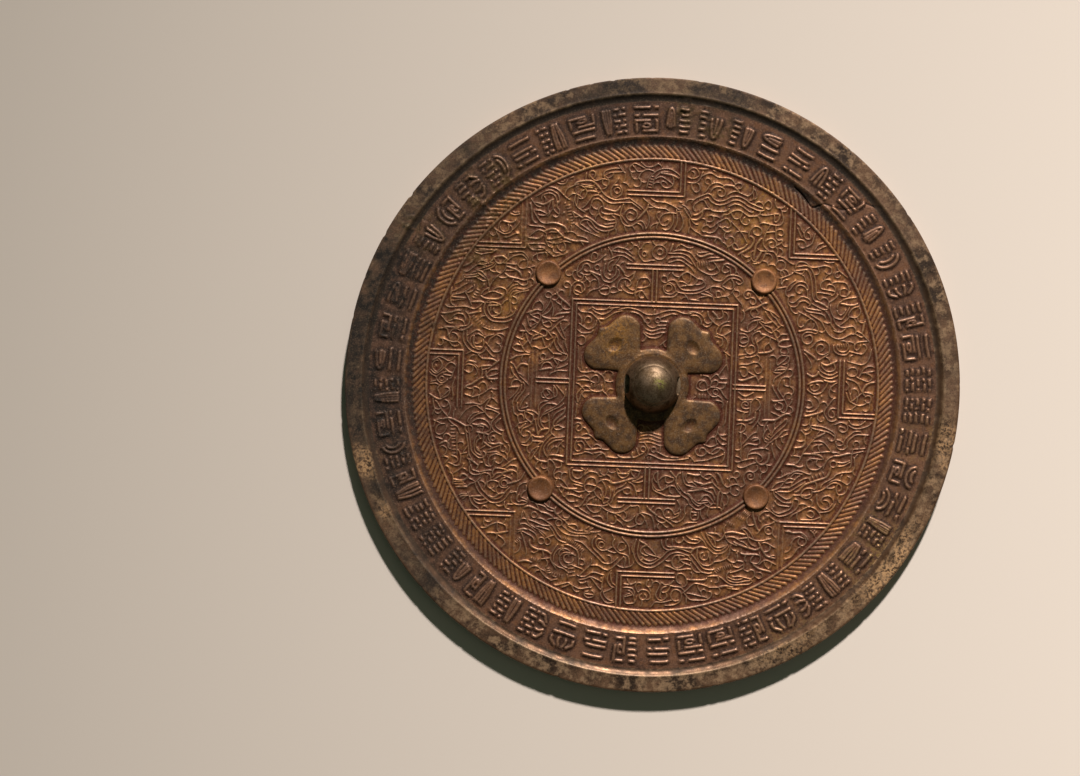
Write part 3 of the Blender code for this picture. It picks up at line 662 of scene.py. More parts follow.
    180: """
t-129 661 0-7 t-106 653 12 3 10-7 3-12-5-12-11-4-12 5-5 13 2 13 8 10 10 5 t-118 620 8-6 20-2 10-2 t-62 652 8 4
10-2 7-8 1-12-9-20 t-54 650 6-5-1-7 t-65 630 9 1 6-6-4-6 t-63 660 13 2 16 0 14 16 t-74 606 12 2 8-6 t-24 604 3
9 9 3 7-6-2-10 t-16 636 7-8 11-3 10 2 7 6 8-15 t-4 653 8 3 8-4 2-8-6-7 t27 660 5 7 20 2 8-7 2-11-6-8 t32 629
6-7 18-2 9 2 t30 656 2-12 6-8 t46 645 6 2 t38 609 9 2 17-2 t94 663 9-1 15-10 8-16 t99 669 11 1 10-4 8-10 t111
631 8 4 t93 622 9-3 11-15 1-10 t94 612 6-6 4-16 d-129 510 30-8 28 8 19 19 25 19 15 4 15-2 13-7 9-11 5-13
1-15-2-14 t-90 559-10 2-20-3 t-111 550 13 6 12-6 5-12-2-13-10-8-13-1 w-104 529 2-6 t-79 499 13 2 12-6 6-11
t-70 492 8-4 2-8 t-34 523 20-5 t-22 535 10 2 11-3 b10 533 4 t-26 512 17-18 9-3 10 4 6 9-2 9-8 5 w2 486 6-3 t60
559 8 1 9-2 t78 539 21 21 8 6 t49 544 2-12 7-10 22-6 9-6 7-8 t62 544-1-10 5-7 t68 506 10 3 8-7-1-10 t39 514
4-12-3-11 t50 506 3-13 6-9 t-172 406 9-15 1-17 t-186 396 4-10-2-9 t-226 378 3-9 7-3 22 2 9-3 t-207 356 8-1 6 5
w-213 356 0-14 t-226 336 0-12 6-11 8-7 t-196 344 13-13 9-1 t-199 330 7-8 19-6 t-188 352 6-6 6 0 t-203 316 5-8
8-1 w-184 293 12 4 w-166 296 13-2 d-167 364 9 5 10-1 16-13 4-9 7-8 17-11 13-15 t-173 354 19 2 15-11 6-8 t-115
326 7-3 t-164 340 5 6 8 3 w-129 333 9-6 w-169 312 33 6 t-157 309 15 1 t-139 296 7-4 10 2 6-6 t-138 306 20-4
8-6 4-10 w-134 269 10-2 t-157 394 3 9 8 4 9-1 4-6 w-150 385 8-1 t-152 392 8 0 6 4 t-153 414 20 1 t-186 278 8 3
16-8 4-8 t-196 272 8-6 10 1 t-250 299 9 4 8-4 w-228 294 6-14 b-240 278 4 t-98 390 5 7 16 8 t-53 399
4-8-1-9-6-6-9-2-8 4 w-70 404 12-1 b-65 388 5 t-89 390 5 3 5-6 t-97 374-2-9 9-17 w-79 338 13-1 t-60 339 26-10
17-8 4-8 t-50 314 6 5 10 2 10-3 12-17 1-9 w-30 298 2-8 t-84 310 8-4 10 0 8 4 t-88 306 4-12 0-12 w-78 274 6-7
t-70 294 10 3 8-4 1-9 t-63 278 10-3 9 3 t-18 288 4-10-5-9 t-100 412 10 4 10-2 t-36 438 4-8-4-8 t-24 440 4-24
4-11 7-8 21-6 10 2 w-18 389 9-7 t-68 418 16-10 t-40 418 10-6 4-10 t12 420 5 6 10 0 7-7 0-10 t8 414 0-10 6-5
t39 402 6 9 9 6 11 1 9-5 7-8 9-5 t40 433 10 3 11-2 t94 414 2 9 7 5 8-2 t71 434 5-8 8-6 t120 422 1-10 t133 421
4-10 9-5 21 2 t56 374 16 13 22 8 23-4 20-11 t75 372 8 5 22 1 11-6 t105 342 4 17 5 7 t122 371 17 4 27-2 9-1
t115 346 3 10 6 6 t137 345 6-20 17-11 w126 350 7-1 t152 348 7-6 4-8 k150 360 16-2 3 9 t137 360 3-8 t170 352 8
4 5 6 t164 326 6 5 10 3 9-5 t166 313 19-3 9 5 t195 362 11 15 18 3 b216 363 4 b204 348 4 t222 364 15 1 7-4 t210
350 20-6 10 0 t202 334 10 1 11-3 w230 326 10 0 t244 322 6-8 t34 340 5-19 4-10 7-7 f56 303 7-6 t78 322 16 10 6
7 t84 315 9 3 7 6 w56 290 24 8 10 3 t22 296 8 3 9 0 t25 286 15 8 10-1 t30 274 3 8 t46 280 5-5 2-6 t64 280 8 6
10 1 8-5 5-8 w72 274 8 0 t60 266 8 5 t85 271 7-8 w44 263 8-1 t123 296 7-2 8 1 t124 262 1 8 4 6 t154 280 5-6
19-3 10 4 t158 304 4-10 8-5 10 0 9 5 5 8 t194 274 12 16 9 4 9-2 7-7 2-9 w224 270 8-1 t210 308 20-6 8-7 3-10
t195 268 7-4 t199 318 15-4 t128 334 0-12 4-10 t178 402 20-12 t152 394 11 2 10-5""",
    202.5: """
t-100 668 8 4 10-2 6-7-4-6 t-94 660 11 3 t-63 655 11 3 24-2 10-1 18 14 9 7 9 3 t-16 668 8 8 t-59 638 7 2
7-5-17-13-7-8-9-5-20 0 t-49 621-9-5-12-18-9-5 t-46 606-8-20 t-106 628 19-10 b-105 601 5 t-116 620 4-14 k-10
639 14 10 2 14 k-22 631 20-28 4 19 t22 655 9 1 k6 647 30 5 5 11 k46 652 8-11 3 10 t3 624 11-2 12 2 13-2 t2 615
12 1 11-4 8-8 4-12-4-12-8-6 t5 600 10 1 8-6 3-10-7-8 b14 580 4 t-17 574 7-12 11-9 25-3 12 4 t24 564 10 1 7 5 3
6 k36 572 9-12 4 8 t-112 570 12 2 22-2 18 8 t-110 549 10 5 12 1 24-9 24-8 24-9 12-3 10 1 k-19 550 25-9 5 12
k12 538 38 0 8 9 t55 541 17-8 24-15 27-6 t49 549 12 0 11-4 10-7 f6 510 22 9 28 4 22-7 f-12 492 25 13 27 6 18-3
f-20 484 24 8 22 8 t-79 519 9 4 12-2 10-7 5-10-4-9-9-3 r-63 508 9 t-68 536 22-8 8-8 r83 501 10 w88 484 6-2 t62
491 9-4 9-1 k87 630 27 6 5 9 w83 595 13 2 11 4 11 1 b121 616 4 t70 614 8 5 t80 651 10-2 8 4 r109 573 10 t92
552-8-8 t-28 600 20 2 t48 622 10-8 6-10 0-12 t53 606 3-12-2-12 t42 669 12-2 10-5 t34 674-6-6""",
    225: """
w-134 644 7 6 6 10 t-93 650 0-10 5-10 6-6 t-96 616 20-10 k-70 630 1-16 4 9 w-23 635 7 11 t-2 622 14 8 4 6 t-26
654 20 5 8 6 t-10 647 8-1 8-7 t27 668 4 7 7 4 t32 666 8-2 5-6 t67 624 8 1 5 4-1 6 t87 646 19 3 9-2 t83 619 6
10 9 7 10 2 10-3 t93 614 6 10 9 6 w104 610 18 21 d57 563 0 11 4 11 8 10 11 6 27 2 13 0 13-3 w70 562 5 10 0 10
4 8 10 4 r87 535 9 t76 544 8 6 11-1 6-8 0-11 t77 512 9-1 18 8 t112 532 2 7 w69 510 4 8 t64 500-2-11 2-8 t71
493 7-6 11-2 8 3 b91 499 4 w-51 593-5-8-8-5 t-53 601-6-7-21-8 t-76 573 9 3 f-118 550 10-1 21 5 23 8 12 1 10-3
f-118 556 18 0 f-72 565 14 3 t-98 538 14 9 t-95 529 9 7 22 10 r-46 533 9 w-34 518 7 3 t-122 525 12-1 w-82 498
10 3 9 5 t-58 510 10 3 9-3 t-70 489 10 4 10-1 8 4 t-66 481 10 4 10 1 t-97 494 5 6 t0 537 7 9 8 6 t4 526 8 6 2
8 8 2 6-6 t14 523 8 3 4-6 t36 530 7-4 5 7 t30 577 4-5-5-5 t20 579 8 4 6-2 t26 500 10-10 t46 518 5-10-1-11""",
    247.5: """
w-118 669 2-7-2-8 t-110 671 1-10-3-9 w-84 669-6-19 t-74 676 11-5 t-74 670-7-17 t-68 666-6-13 w-63 662-9-18
4-18 9 3 t-41 658 2-10 t-6 666-5-7-8-7-5-9 2-9 18-10 11-2 t-14 648 2-9 8-4 8 4 t-4 675 10-15 8 6 k4 640 52-14
6 13 k64 624 30-10 4 14 t5 633 27-10 26-9 t24 662 10-7 10 4 5 7-2 7 w51 646 6 4 1 12-2 9 t44 649-8 0-6-5 t59
638 7-8 8 4 t83 654 1 8 6 6 9-1 9-6 5-10-1-9 t76 669 4 6 t111 671 5-5 t123 654 9 9 t-92 632 2-10-1-12 6-16
t-80 616 8 7 t-70 600 5 9 8 5 10-2 t-58 596 6 8 8 0 w-39 587 14 9 t-46 582 6-7-2-8 t-30 604 10-1 7 4 7-5 t3
601 1 7 t12 606 5-7 t-28 565 4 9 18 10 12 2 26-6 26-6 10-2 t-16 569 8 6 11 2 23-8 8-7 t4 569 10-1 10-6 t-12
596 12 0 26-7 28-5 t63 580 9 2 7-5 0-8 w92 587 18 15 8 10 t79 600 9 2 8 7 10 6 t62 598-3-9 t-103 572 1-10-6-12
t-80 590 6-8 0-10-5-8 t-66 586-3-20 t-58 556 7 6 19-1 t-24 561 20 3 t-1 560 4-18 t-12 522 0-18 w4 536-12-10 w1
520-4-8-1-10-4-8 t-59 549 9 3 16-10 3-19-4-8 t-58 539 14-11-2 9 f-21 534-8-21-21-12-10-5 t-92 548 4-8-1-8 t-76
546 4-10-10-20 w-96 526 3-12-1-12 t-84 506 4-12-3-11 t-73 502 3-10 w39 532 5 8 t40 520 2-8 10-5 12 1 12 6 8 10
4 12-1 12-4 10 w70 538-1-8-5-7 t50 533 8-6 4 5 t88 560 7-7 6-21 0-10 t86 566 10-2 11-18 1-10 t120 520-8-5 d32
490 8 5 10 2 10-3 8-18 t73 491 5 8 18 7 17-5 12-14 t71 486 5-12 t92 478 6 6 t100 476 6 7 t8 523 10 3 9-3 6-8
2-10-5-8 r16 512 7 t18 543 6-5 6-2 t34 550 12-1 t-12 476 8 6 10 1 10-3""",
    270: """
w-58 669 6 9 t-43 651 7 3 7-4 t-21 670 1-10-4-9 t-84 675 8 1 t-106 663 8-3 8 2 t-16 676 3-10 t2 663 5 10 8 7
t18 673-6-7-1-10 11-14 b34 661 5 t20 666 7 5 11 1 8-6 t23 649 9-6 10 0 8 5 w49 673 10-15 t62 652-3-10-9-18
3-10 7-7 t-17 636-1 10 15 13 14-15 4-10 r-5 642 7 t-6 620 6-8 8-2 w14 612 2 9 6 7 t24 633 9-1 12-14-2-10 t6
626-1-9 t-61 630 5-8 6-4 t-54 633 7-7 t-119 620 19 18 10 7 t-104 614 12-2 12 4 t-114 602 9-1 8-4 t-40 608 10 2
10-2 w-16 548 10-14 t-53 560-2-10 7-5 t-55 538 7-18 5-8 t37 572 5-8-3-17-6-7 t21 570-4-9 3-10 8-3 t41 541 6 7
w47 570 5-8-1-10 d122 576-13-4-20-18-7-24 6-10 w95 536 0 7 5 3 t96 552 10 7 10 1 t110 622-2-11 2-11 10-5 10 5
t-79 568 3-25-3-24 15-17 5-10-1-10-13-13 f-108 574 9-8 13-20 3-12 w-1 483 0 11 3 9 7 4 t29 509 3-9 5-7 t19 502
7-8 3-10 t8 496 3-10 w39 509 1-10 w41 488 6-6 w61 516-1-24-3-9 t72 533-6-5-3-6 t80 501 8 7 t99 502-15-13-2-10
k-10 490 6-9 2 7 t10 520 10-1 10 2 t72 572 7-12 t-31 560-1-10 6-8-2-10 t-191 387 2-9 12-10 t-199 382 0-10 5-9
10-4 10 1 t-229 367 15-7 9-11 t-236 359 15-9 t-154 392 6-3 8-18 6-7 6 2 11 14 8 4 t-145 412 12-10 2-9 3-7
w-146 397 4-5 t-154 400 6 2 t-124 404 9 2 8-3 2-9-6-5 t-106 412 4 6 7 1 t-82 409-10-4-3-9 2-11 t-93
362-4-9-6-8 w-92 380 0-12 t-102 368-4-8-8-2 t-78 422 8 2 17-7 14-12 t-70 412 10-2 24-17 8-5 10 0 t-69 396
16-10 7-7 t-56 430 16-15 8-5 w-22 422 1-8 t-12 429 7-3 5-7 0-9 t-34 402 10-4 10 0 t-84 384 4-8 b-72 380 4
w-172 349-1-17 3-7 t-166 360-4-6 t-166 320 16-11 32 1 b-153 358 6 w-148 327 2-7 t-140 339 7 4 9 1 t-148 346 17
4 t-139 328 6 5 6 2 t-163 296 5 6 9 0 t-209 323 9-1 22-18 6-16 t-202 312 8-4 11-15 3-9 t-194 327 10-5 15-14
f-228 309 18-7 8-7 b-200 286 4 t-196 278 6-5 w-226 284-1-8 w-245 327-1-7 t-250 308 7 1 4-6-3-5 w-241 280-2-8
t-226 336 9 0 9-4 t-198 342 6-5 3-6 t-185 346 0-10 t-216 346 9-4 t-112 335 18-12 16-29 16-17 9-7 t-100 321
16-29 t-107 340 13-1 12-4 13-16 1-9 t-93 344 15 0 10-6 5-9 w-68 303-2-8 w-112 285 8-9 w-120 278 5-6 t-92 282
5-8 t-45 327-7-6-3-9 4-9 t-44 299 11 1 t-34 334 7-5 3-8-2-8 t-50 298 5-7 9-2 10 2 8 5 t-29 276 13 12 t-45 319
6-8 5 4 w62 436 9-16 t72 415 5-19 1-20 w104 426 4-9-2-10 t104 402-15-10-4-8-1-8 t99 430-7-6-4-10 w44 408 5-7
0-9-2-8 t44 379-15 0 t39 420-25-14 t-2 389 11 13 t5 411 5 5 t95 348 3-9 t128 414 3 7 t139 400-7 1-4 7 w149 409
0-9 t147 386 5 5 8 3 7 5 t162 374 5 7 8 3 t158 371 6-8 8-6 t168 372 6-10 t182 382 2-10-4-8 t193 366-3-8 w205
390 3-6 w210 374 5-8 1-8 t203 364 2-8-5-7 t215 352-1-8 6-4 t202 338 5-9 8-8 9-5 t215 337 13-9 t213 310 10 0 10
3 w192 332-2-10 1-22 t184 314-2-10 6-11 t168 335-4-8 1-9 6-5 8 4 t179 332 3-8 t150 349 7-5 0-9-5-7-8-1 t143
349 7 17 w134 342 2-6 t126 372 8-4 5-8 t114 390-6 5 t123 384-17-10 t110 332 15 6 t129 330-4-7 4-8 t112 312 6-3
t130 307 15 12 t151 318 22-21 6-6 t162 298-17-11 t90 284 8 10 20 9 11-1 t98 278 20 14 11 0 11 6 t86 307 8 8
w84 294 0 8 w63 331 1-7 r74 336 9 t54 342 5-8 t48 308 7 6 2 10-4 10-9 5 w34 338 2-8 t17 314 7-4 8-18 1-8 t36
298 7-4 t41 288 5-15 4-7 t62 299 8 5 8 0 t65 288-3-10 4-9 t160 274 14-12 t148 276 8 4 t110 268 10 3 10-2 w208
282 1-8 t220 266 0 9 6 8 8 3 w243 274 6 8""",
    292.5: """
t-116 663 10-15-1-9-6-6 w-99 640 7-20 t-120 626 10 1 10-4 5-8 w-93 601 5-9 8-6 t-83 609 11-19 10-4 10 2 w-69
676 4-10 11-17 t-78 668-4-8 t-77 640 9-10 4-11 t-59 638 9-8 4-10 t-37 650 10-18 f-17 655 11-17 t-28 662 10 7
10 0 8-7 10-15 14-12 w-6 653 7-19 t0 611 12 15 w1 604 5-9 b-10 574 6 k15 604 27-1 4 11 w8 677 7 2 t29 674 6-5
t22 659 16-11 k50 648 6-24 4 9 t63 648 11-20 8-8 t72 646 6-10 w89 673 13-10 t88 636 7-9 2-11-10-22-9-9 t87
619-2-11 b63 593 5 t98 646 10-6 6-8 3-10 t102 625 22-24 9-6 t102 612 20-19 8-4 w-29 588 7-8 k-39 584-14-40 6
12 t-55 538 2-20 12-27 13-15 k-52 534 5-26 4 10 t-18 600 2-10 6-6 d17 559-10 2-11-5-9-9-6-12-1-13 9-25 7-11
10-9 t22 554 4-6 2-8 w15 547 4-7 w30 562 7-16 t0 544 10 2 t-9 524 7-8 10-4 11 3 t53 566 5-9 2-21 t66 559 8-7
4-8 1-10 t62 575 11 1 23-5 22-11 10-4 f46 498 10 4 f65 501 17-9 18-23 6-7 f60 506 12 1 10-4 6-9 f79 512 9-4
7-8 6-22 6-8 f84 518 10-4 8-7 t-90 508 10 0 18-10 t-86 554 6-7 0-10 t-89 569 7-4 t-72 558 3-9-3-9 t-86 524
10-3 6-7 t36 518 8-2 8-6 t34 589 10-1 9-5 t26 622 10-6 10 2""",
    315: """
t-116 654 6-8 16-10 t-110 659 7-7 w-98 654 14-16 t-122 616 8-5 w-96 612 10 0 17-12 4-9 t-94 600 1-8 7-7 8-2
b-108 610 4 f-87 556 9-8 w-75 558 8-16 t-74 574 10-12 t-65 578 21-2 18-11 6-8 1-11 t-23 533-7-7-10-2-8 4-5 9 2
10 9 3 t-32 582 18-16 1-21-5-8 t-56 586 8 6 8-4 w-87 526 8-11 t-124 519 22 1 10 4 t-76 510 6-10 8-5 t-94 516
7-8 1-11 6-9 10-3 7 5 t-26 667 6-19 7-8 9-4 t-16 656 4-8 8-4 8 4 w6 677 6-10 t-16 672 8 6 9 2 t41 672 4-7 7-5
t48 677 2-6 6-5 t22 636 10 1 9 3 w-14 613 12-9 t2 624 8-3 5-6 t55 613 15-18 w83 629 4 5 t92 620-2-12 w33 580
5-6 t24 566 18-17 w11 560 2-10 13-14 t14 532 8-4 16-13 t24 546 15-11 4-18 t43 513 1-9 t58 586 10-4 6-9 t83 554
7-2 6-6 t58 534 4 10 8 8 t70 526 6-8 8-4 t79 534 17-10 t89 509 9-4 7-6 t73 492 4-8 9-1 6 5 t116 667-2-10 t106
607 6-6 7-1 t44 496 6-8 8-4 t60 510-4-8 4-8""",
    337.5: """
t-86 675 9-3 14-13 9-17 t-104 667 12 0 11-4 13-17 1-10 t-102 659 12-2 9-7 4-9 0-9 t-109 653 2-10-5-7 w-130 638
8-6 8-1 t-103 624-7-8-4-8 t-130 612 5-5 t-111 600 7 5 t-57 678 7-6 10-4 8 1 7 7 t-46 678 7-3 7 4 t-42 646 10 6
23 1 w-6 657 10 2 29-7 16-12 12-28 t8 650 28-16 t44 624 5-21 w24 634 15-8 w23 621 8-2 8-4 k48 634 6-28 3 9 t14
638 4-10-2-10-6-7 t-32 630 9 1 9-5 6-7 t-24 615-3-8 1-18 9-15 t11 574 13 16 9 2 10-3 6-8 w-11 572 8-2 8 2 t26
602 9 1 9-2 t50 597 15-25 15-11 27-8 27-10 t61 607 7-17 20-20 27-8 18-4 t86 596 4 8 7 6 t118 604
3-10-2-9-7-8-9-3 r106 593 9 w103 610 11-3 t43 670 7 6 10-3 2-9-5-7 t46 656 6-10 10-4 12 0 7-3 t84 652 4 7 10 3
24-3 11-4 t94 650 12 1 24-7 t66 612 10 1 15 12 1 10 k-52 602-4-56 7 12 b-57 612 4 b-70 586 5 b-69 560 5 t-46
580 2-12-5-12 f-53 546 18-28 17-16 18-17 7-8 w-39 574 10-14 w-19 554 10-4 13-16 11-19 18-15 9-3 t-19 544 9-4
8-9 7-22 19-18 26-5 10 4 8 10 2 11 f-13 536 1-12 10-20 t-30 530 12-18 t12 532 4 8 7 4 t45 520 9-5 10-2 t30 546
2-12 7-8 t46 506 9-2 w59 548 17-12 9 0 t63 532 9-3 8-6 t94 508 2-7 t110 526 12 3 10-5 w-133 574 26-8 21-17
5-10 w-132 554 11-2 11-7 10-21 5-10 19-16 12-8 14-4 19-11 b-82 531 5 t-76 526 10-3 6-7 t-56 506 10-6 t-79
620-5-10 4-10-3-10 t-94 620-2-12 4-12""",
}
strokeKinds = {"t": (1.0, 1.0), "w": (1.55, 1.12), "f": (0.72, 0.8), "d": (1.0, 1.05)}      # width and height


def raiseTicks(start, end, count, length):
    along = end - start
    across = np.array([-along[1], along[0]]) * length / 2 / max(np.hypot(*along), 0.1)
    for share in np.linspace(0, 1, count):
        middle = start + along * share
        raiseThread(resample([middle - across, middle + across], thread["step"]), 0.8, 0.85)


def raiseDrawn():
    flowing = []
    for angle, lines in drawn.items():
        for kind, numbers in re.findall("([a-z])([^a-z]+)", lines):
            numbers = [int(n) for n in re.findall(r"-?\d+", numbers)]
            values = np.array(numbers) / 10
            start = turned(values[:2], -angle)
            if kind == "r":
                raiseRing(start, values[2])
            elif kind == "b":
                raiseBead(start, values[2])
                room.stamp([start], 0.9)
            elif kind == "k":
                raiseTicks(start, turned(values[:2] + values[2:4], -angle), numbers[4], values[5])
            else:
                route = smoothRoute(turned(np.cumsum(values.reshape(-1, 2), axis=0), -angle))
                sides = (-0.5, 0.5) if kind == "d" else (0.0,)
                for side in sides:
                    raiseThread(offset(route, side * thread["double"]), *strokeKinds[kind])
                    flowing.append(len(threads) - 1)
    growEnds(flowing, 3.2)


# The inscription's places, each filled with strokes that are no writing, and the teeth of the comb band
inscription = {
    "places": 52, "radius": 80.9, "tall": 7.3, "wide": 7.4, "gap": 1.5, "pitch": 1.62, "halfWidth": 0.56,
    "height": 0.42, "uneven": 0.07,
}
strokeBlocks = ("rungs", "bricks", "rungs", "bricks", "pinwheel", "arches", "fan")
comb = {"teeth": 240, "inner": 69.5, "outer": 73.0, "slant": 3.0, "halfWidth": 0.62, "height": 0.3}


def arc(x, y, across, down, start, end):
    # part of an oval, degrees anticlockwise from the right
    return [(x + across * math.cos(math.radians(a)), y + down * math.sin(math.radians(a)))
            for a in np.linspace(start, end, 9)]


def strokeBlock(kind, w, h):
    # loose strokes for a w by h part of a place, round its middle: no two of them join into a sign
    pitch = inscription["pitch"]
    x, y = w / 2, h / 2
    count = max(2, int(h / pitch) + 1)
    levels = [-y + h * k / (count - 1) for k in range(count)]
    if kind == "rungs":
        return [[(-x + dice.uniform(0, 0.9), level), (0, level + 0.12), (x - dice.uniform(0, 0.9), level)]
                for level in levels]
    if kind == "bricks":
        out = []
        for k, level in enumerate(levels):
            cut = x * (0.5 if k % 2 else -0.5) + dice.uniform(-0.3, 0.3)
            out += [[(-x, level), (cut - 0.75, level)], [(cut + 0.75, level), (x, level)]]
        return out
    if kind == "arches":
        count = max(2, int(min(x, h) / (pitch * 0.85)))
        return [arc(0, -y, x - k * pitch * 0.9, h - k * pitch * 0.95, 12, 168) for k in range(count)]
    if kind == "fan":
        return [[(0.25 * x * k, -y), (0.5 * x * k, y * 0.1), (x * 0.5 * k, y)] for k in (-2, -0.75, 0.75, 2)]
    a, b = x * 0.35, y * 0.35      # the pinwheel
    return [[(-x, y), (a, y)], [(x, y), (x, -b)], [(x, -y), (-a, -y)], [(-x, -y), (-x, b)],
            arc(0, 0, a * 1.1, b * 1.1, 200, 480)]


def raiseInscription():
    wide, tall = inscription["halfWidth"] / thread["halfWidth"], inscription["height"] / thread["height"]
    middle, gap = inscription["radius"], inscription["gap"]
    for place in range(inscription["places"]):
        angle = 360 * (place + 0.5) / inscription["places"]
        w, h = inscription["wide"] * dice.uniform(0.82, 0.98), inscription["tall"] * dice.uniform(0.9, 1.0)
        share = dice.uniform(0.4, 0.6)
        if dice.random() < 0.5:      # two blocks side by side, or one above the other
            first, second = (w - gap) * share, (w - gap) * (1 - share)
            parts = [(-w / 2 + first / 2, 0, first, h), (w / 2 - second / 2, 0, second, h)]
        else:
            first, second = (h - gap) * share, (h - gap) * (1 - share)
            parts = [(0, -h / 2 + first / 2, w, first), (0, h / 2 - second / 2, w, second)]
        used = None
        for cx, cy, pw, ph in parts:
            kind = dice.choice([k for k in strokeBlocks if k != used])
            used = kind
            turn = dice.choice((0, 90, 180, 270)) if kind in ("arches", "fan") else dice.choice((0, 180))
            sides = (ph, pw) if turn in (90, 270) else (pw, ph)
            for stroke in strokeBlock(kind, *sides):
                shift = [[dice.gauss(0, inscription["uneven"]), dice.gauss(0, inscription["uneven"])]]
                bent = turned(np.array(stroke) + shift, turn) + [cx, cy]
                radial = [(px * (middle + py) / middle, middle + py) for px, py in bent]
                route = softened(cornered(turned(radial, -angle)), 3)
                raiseThread(route, wide, tall * dice.uniform(0.85, 1.1), taper=False, reach=0)


def raiseComb():
    # slanted teeth, each running clockwise as it goes in
    wide, tall = comb["halfWidth"] / thread["halfWidth"], comb["height"] / thread["height"]
    for tooth in range(comb["teeth"]):
        angle = 360 * tooth / comb["teeth"] + dice.gauss(0, 0.05)
        outer = polar(angle - comb["slant"] / 2, comb["outer"] + dice.uniform(-0.2, 0.1))
        inner = polar(angle + comb["slant"] / 2, comb["inner"])
        line = resample([outer, inner], thread["step"])
        raiseThread(line, wide, tall * dice.uniform(0.8, 1.1), taper=False, reach=0)


# The relief of the whole back as heights on a grid
relief = {"cell": 0.06, "reach": mirrorRadius + 0.5}
cells = int(round(2 * relief["reach"] / relief["cell"])) + 1
gridLine = (np.arange(cells) * relief["cell"] - relief["reach"]).astype(np.float32)
gridX, gridY = np.meshgrid(gridLine, gridLine)
gridR = np.hypot(gridX, gridY)


def clouds(size, seed, detail=1):
    # smooth random patches, about -1 to 1, size millimetres across
    total = np.zeros((cells, cells), np.float32)
    weight = 1.0
    for octave in range(detail):
        n = int(2 * relief["reach"] / size) + 4
        knots = np.random.default_rng(seed + octave).uniform(-1, 1, (n, n)).astype(np.float32)
        at = (gridLine + relief["reach"]) / size
        i = at.astype(int)
        f = at - i
        f = (f * f * (3 - 2 * f)).astype(np.float32)
        rows = knots[i] * (1 - f)[:, None] + knots[i + 1] * f[:, None]
        total += weight * (rows[:, i] * (1 - f) + rows[:, i + 1] * f)
        size, weight = size / 2.1, weight * 0.55
    return total


def blurred(field, reach):
    # a box blur, twice, reach millimetres to each side
    k = max(1, int(round(reach / relief["cell"])))
    for _ in range(2):
        for axis in (0, 1):
            field = np.moveaxis(field, axis, 0)
            longer = np.concatenate([np.repeat(field[:1], k + 1, 0), field, np.repeat(field[-1:], k, 0)])
            run = np.cumsum(longer, axis=0, dtype=np.float64)
            field = ((run[2 * k + 1:] - run[:-2 * k - 1]) / (2 * k + 1)).astype(np.float32)
            field = np.moveaxis(field, 0, axis)
    return field


def sampled(field, x, y):
    # the grid's value between its cells
    u = np.clip((np.asarray(x) + relief["reach"]) / relief["cell"], 0, cells - 1.001)
    v = np.clip((np.asarray(y) + relief["reach"]) / relief["cell"], 0, cells - 1.001)
    i, j = u.astype(int), v.astype(int)
    f, g = u - i, v - j
    low = field[j, i] * (1 - f) + field[j, i + 1] * f
    high = field[j + 1, i] * (1 - f) + field[j + 1, i + 1] * f
    return low * (1 - g) + high * g


def bell(distance, width, power=2):
    # 1 in the middle, falling off to nothing beyond the width; a higher power has a flatter top
    return np.exp(-(distance / width) ** power)


def baseHeights():
    # the zones without their ornament; the steps between them are hollow curves with a low lip at the top
    c, fineStep = casting, 0.02
    fine = np.arange(0, c["radius"] + 1, fineStep)
    profile = np.full(len(fine), c["fieldZ"])
    bandIn, bandOut = c["bandZ"] - c["bandRise"] / 2, c["bandZ"] + c["bandRise"] / 2
    for inner, outer, low, high in ((c["combOuter"], c["bandInner"], c["fieldZ"], bandIn),
                                    (c["bandOuter"], c["rimInner"], bandOut, c["rimZ"])):
        t = np.clip((fine - inner) / (outer - inner), 0, 1)
        profile = np.where(fine > inner, low + (high - low) * t ** c["cove"], profile)
        profile += c["lip"] * bell(fine - outer - c["lipShift"], c["lipWidth"])
    across = (fine - c["bandInner"]) / (c["bandOuter"] - c["bandInner"])
    profile += np.where((across > 0) & (across < 1), (bandOut - bandIn) * across, 0)
    k = int(c["edgeSoftness"] / fineStep)
    softly = np.hanning(2 * k + 3)[1:-1] / (k + 1)
    profile = np.convolve(np.pad(profile, k, mode="edge"), softly, mode="valid")
    return np.interp(gridR, fine, profile[:len(fine)]).astype(np.float32)


def stampThreads():
    # each thread is a rounded ridge; where two meet, the higher one shows
    lift = np.zeros(cells * cells, np.float32)
    points, widths, heights = [], [], []
    for route, width, height in threads:
        fine = resample(route, 0.1)
        share = np.linspace(0, 1, len(fine))
        points.append(fine)
        widths.append(np.interp(share, np.linspace(0, 1, len(width)), width))
        heights.append(np.full(len(fine), height))
    points, widths, heights = np.vstack(points), np.concatenate(widths), np.concatenate(heights)
    heights = heights * np.minimum(1, widths / (0.75 * thread["halfWidth"]))
    base = np.round((points + relief["reach"]) / relief["cell"]).astype(int)
    k = int(math.ceil(widths.max() / relief["cell"]))
    for dx in range(-k, k + 1):
        for dy in range(-k, k + 1):
            i, j = base[:, 0] + dx, base[:, 1] + dy
            d2 = ((i * relief["cell"] - relief["reach"] - points[:, 0]) ** 2
                  + (j * relief["cell"] - relief["reach"] - points[:, 1]) ** 2) / widths ** 2
            near = d2 < 1
            value = heights[near] * (1 - d2[near]) ** casting["round"]
            np.maximum.at(lift, j[near] * cells + i[near], value.astype(np.float32))
    return lift.reshape(cells, cells)


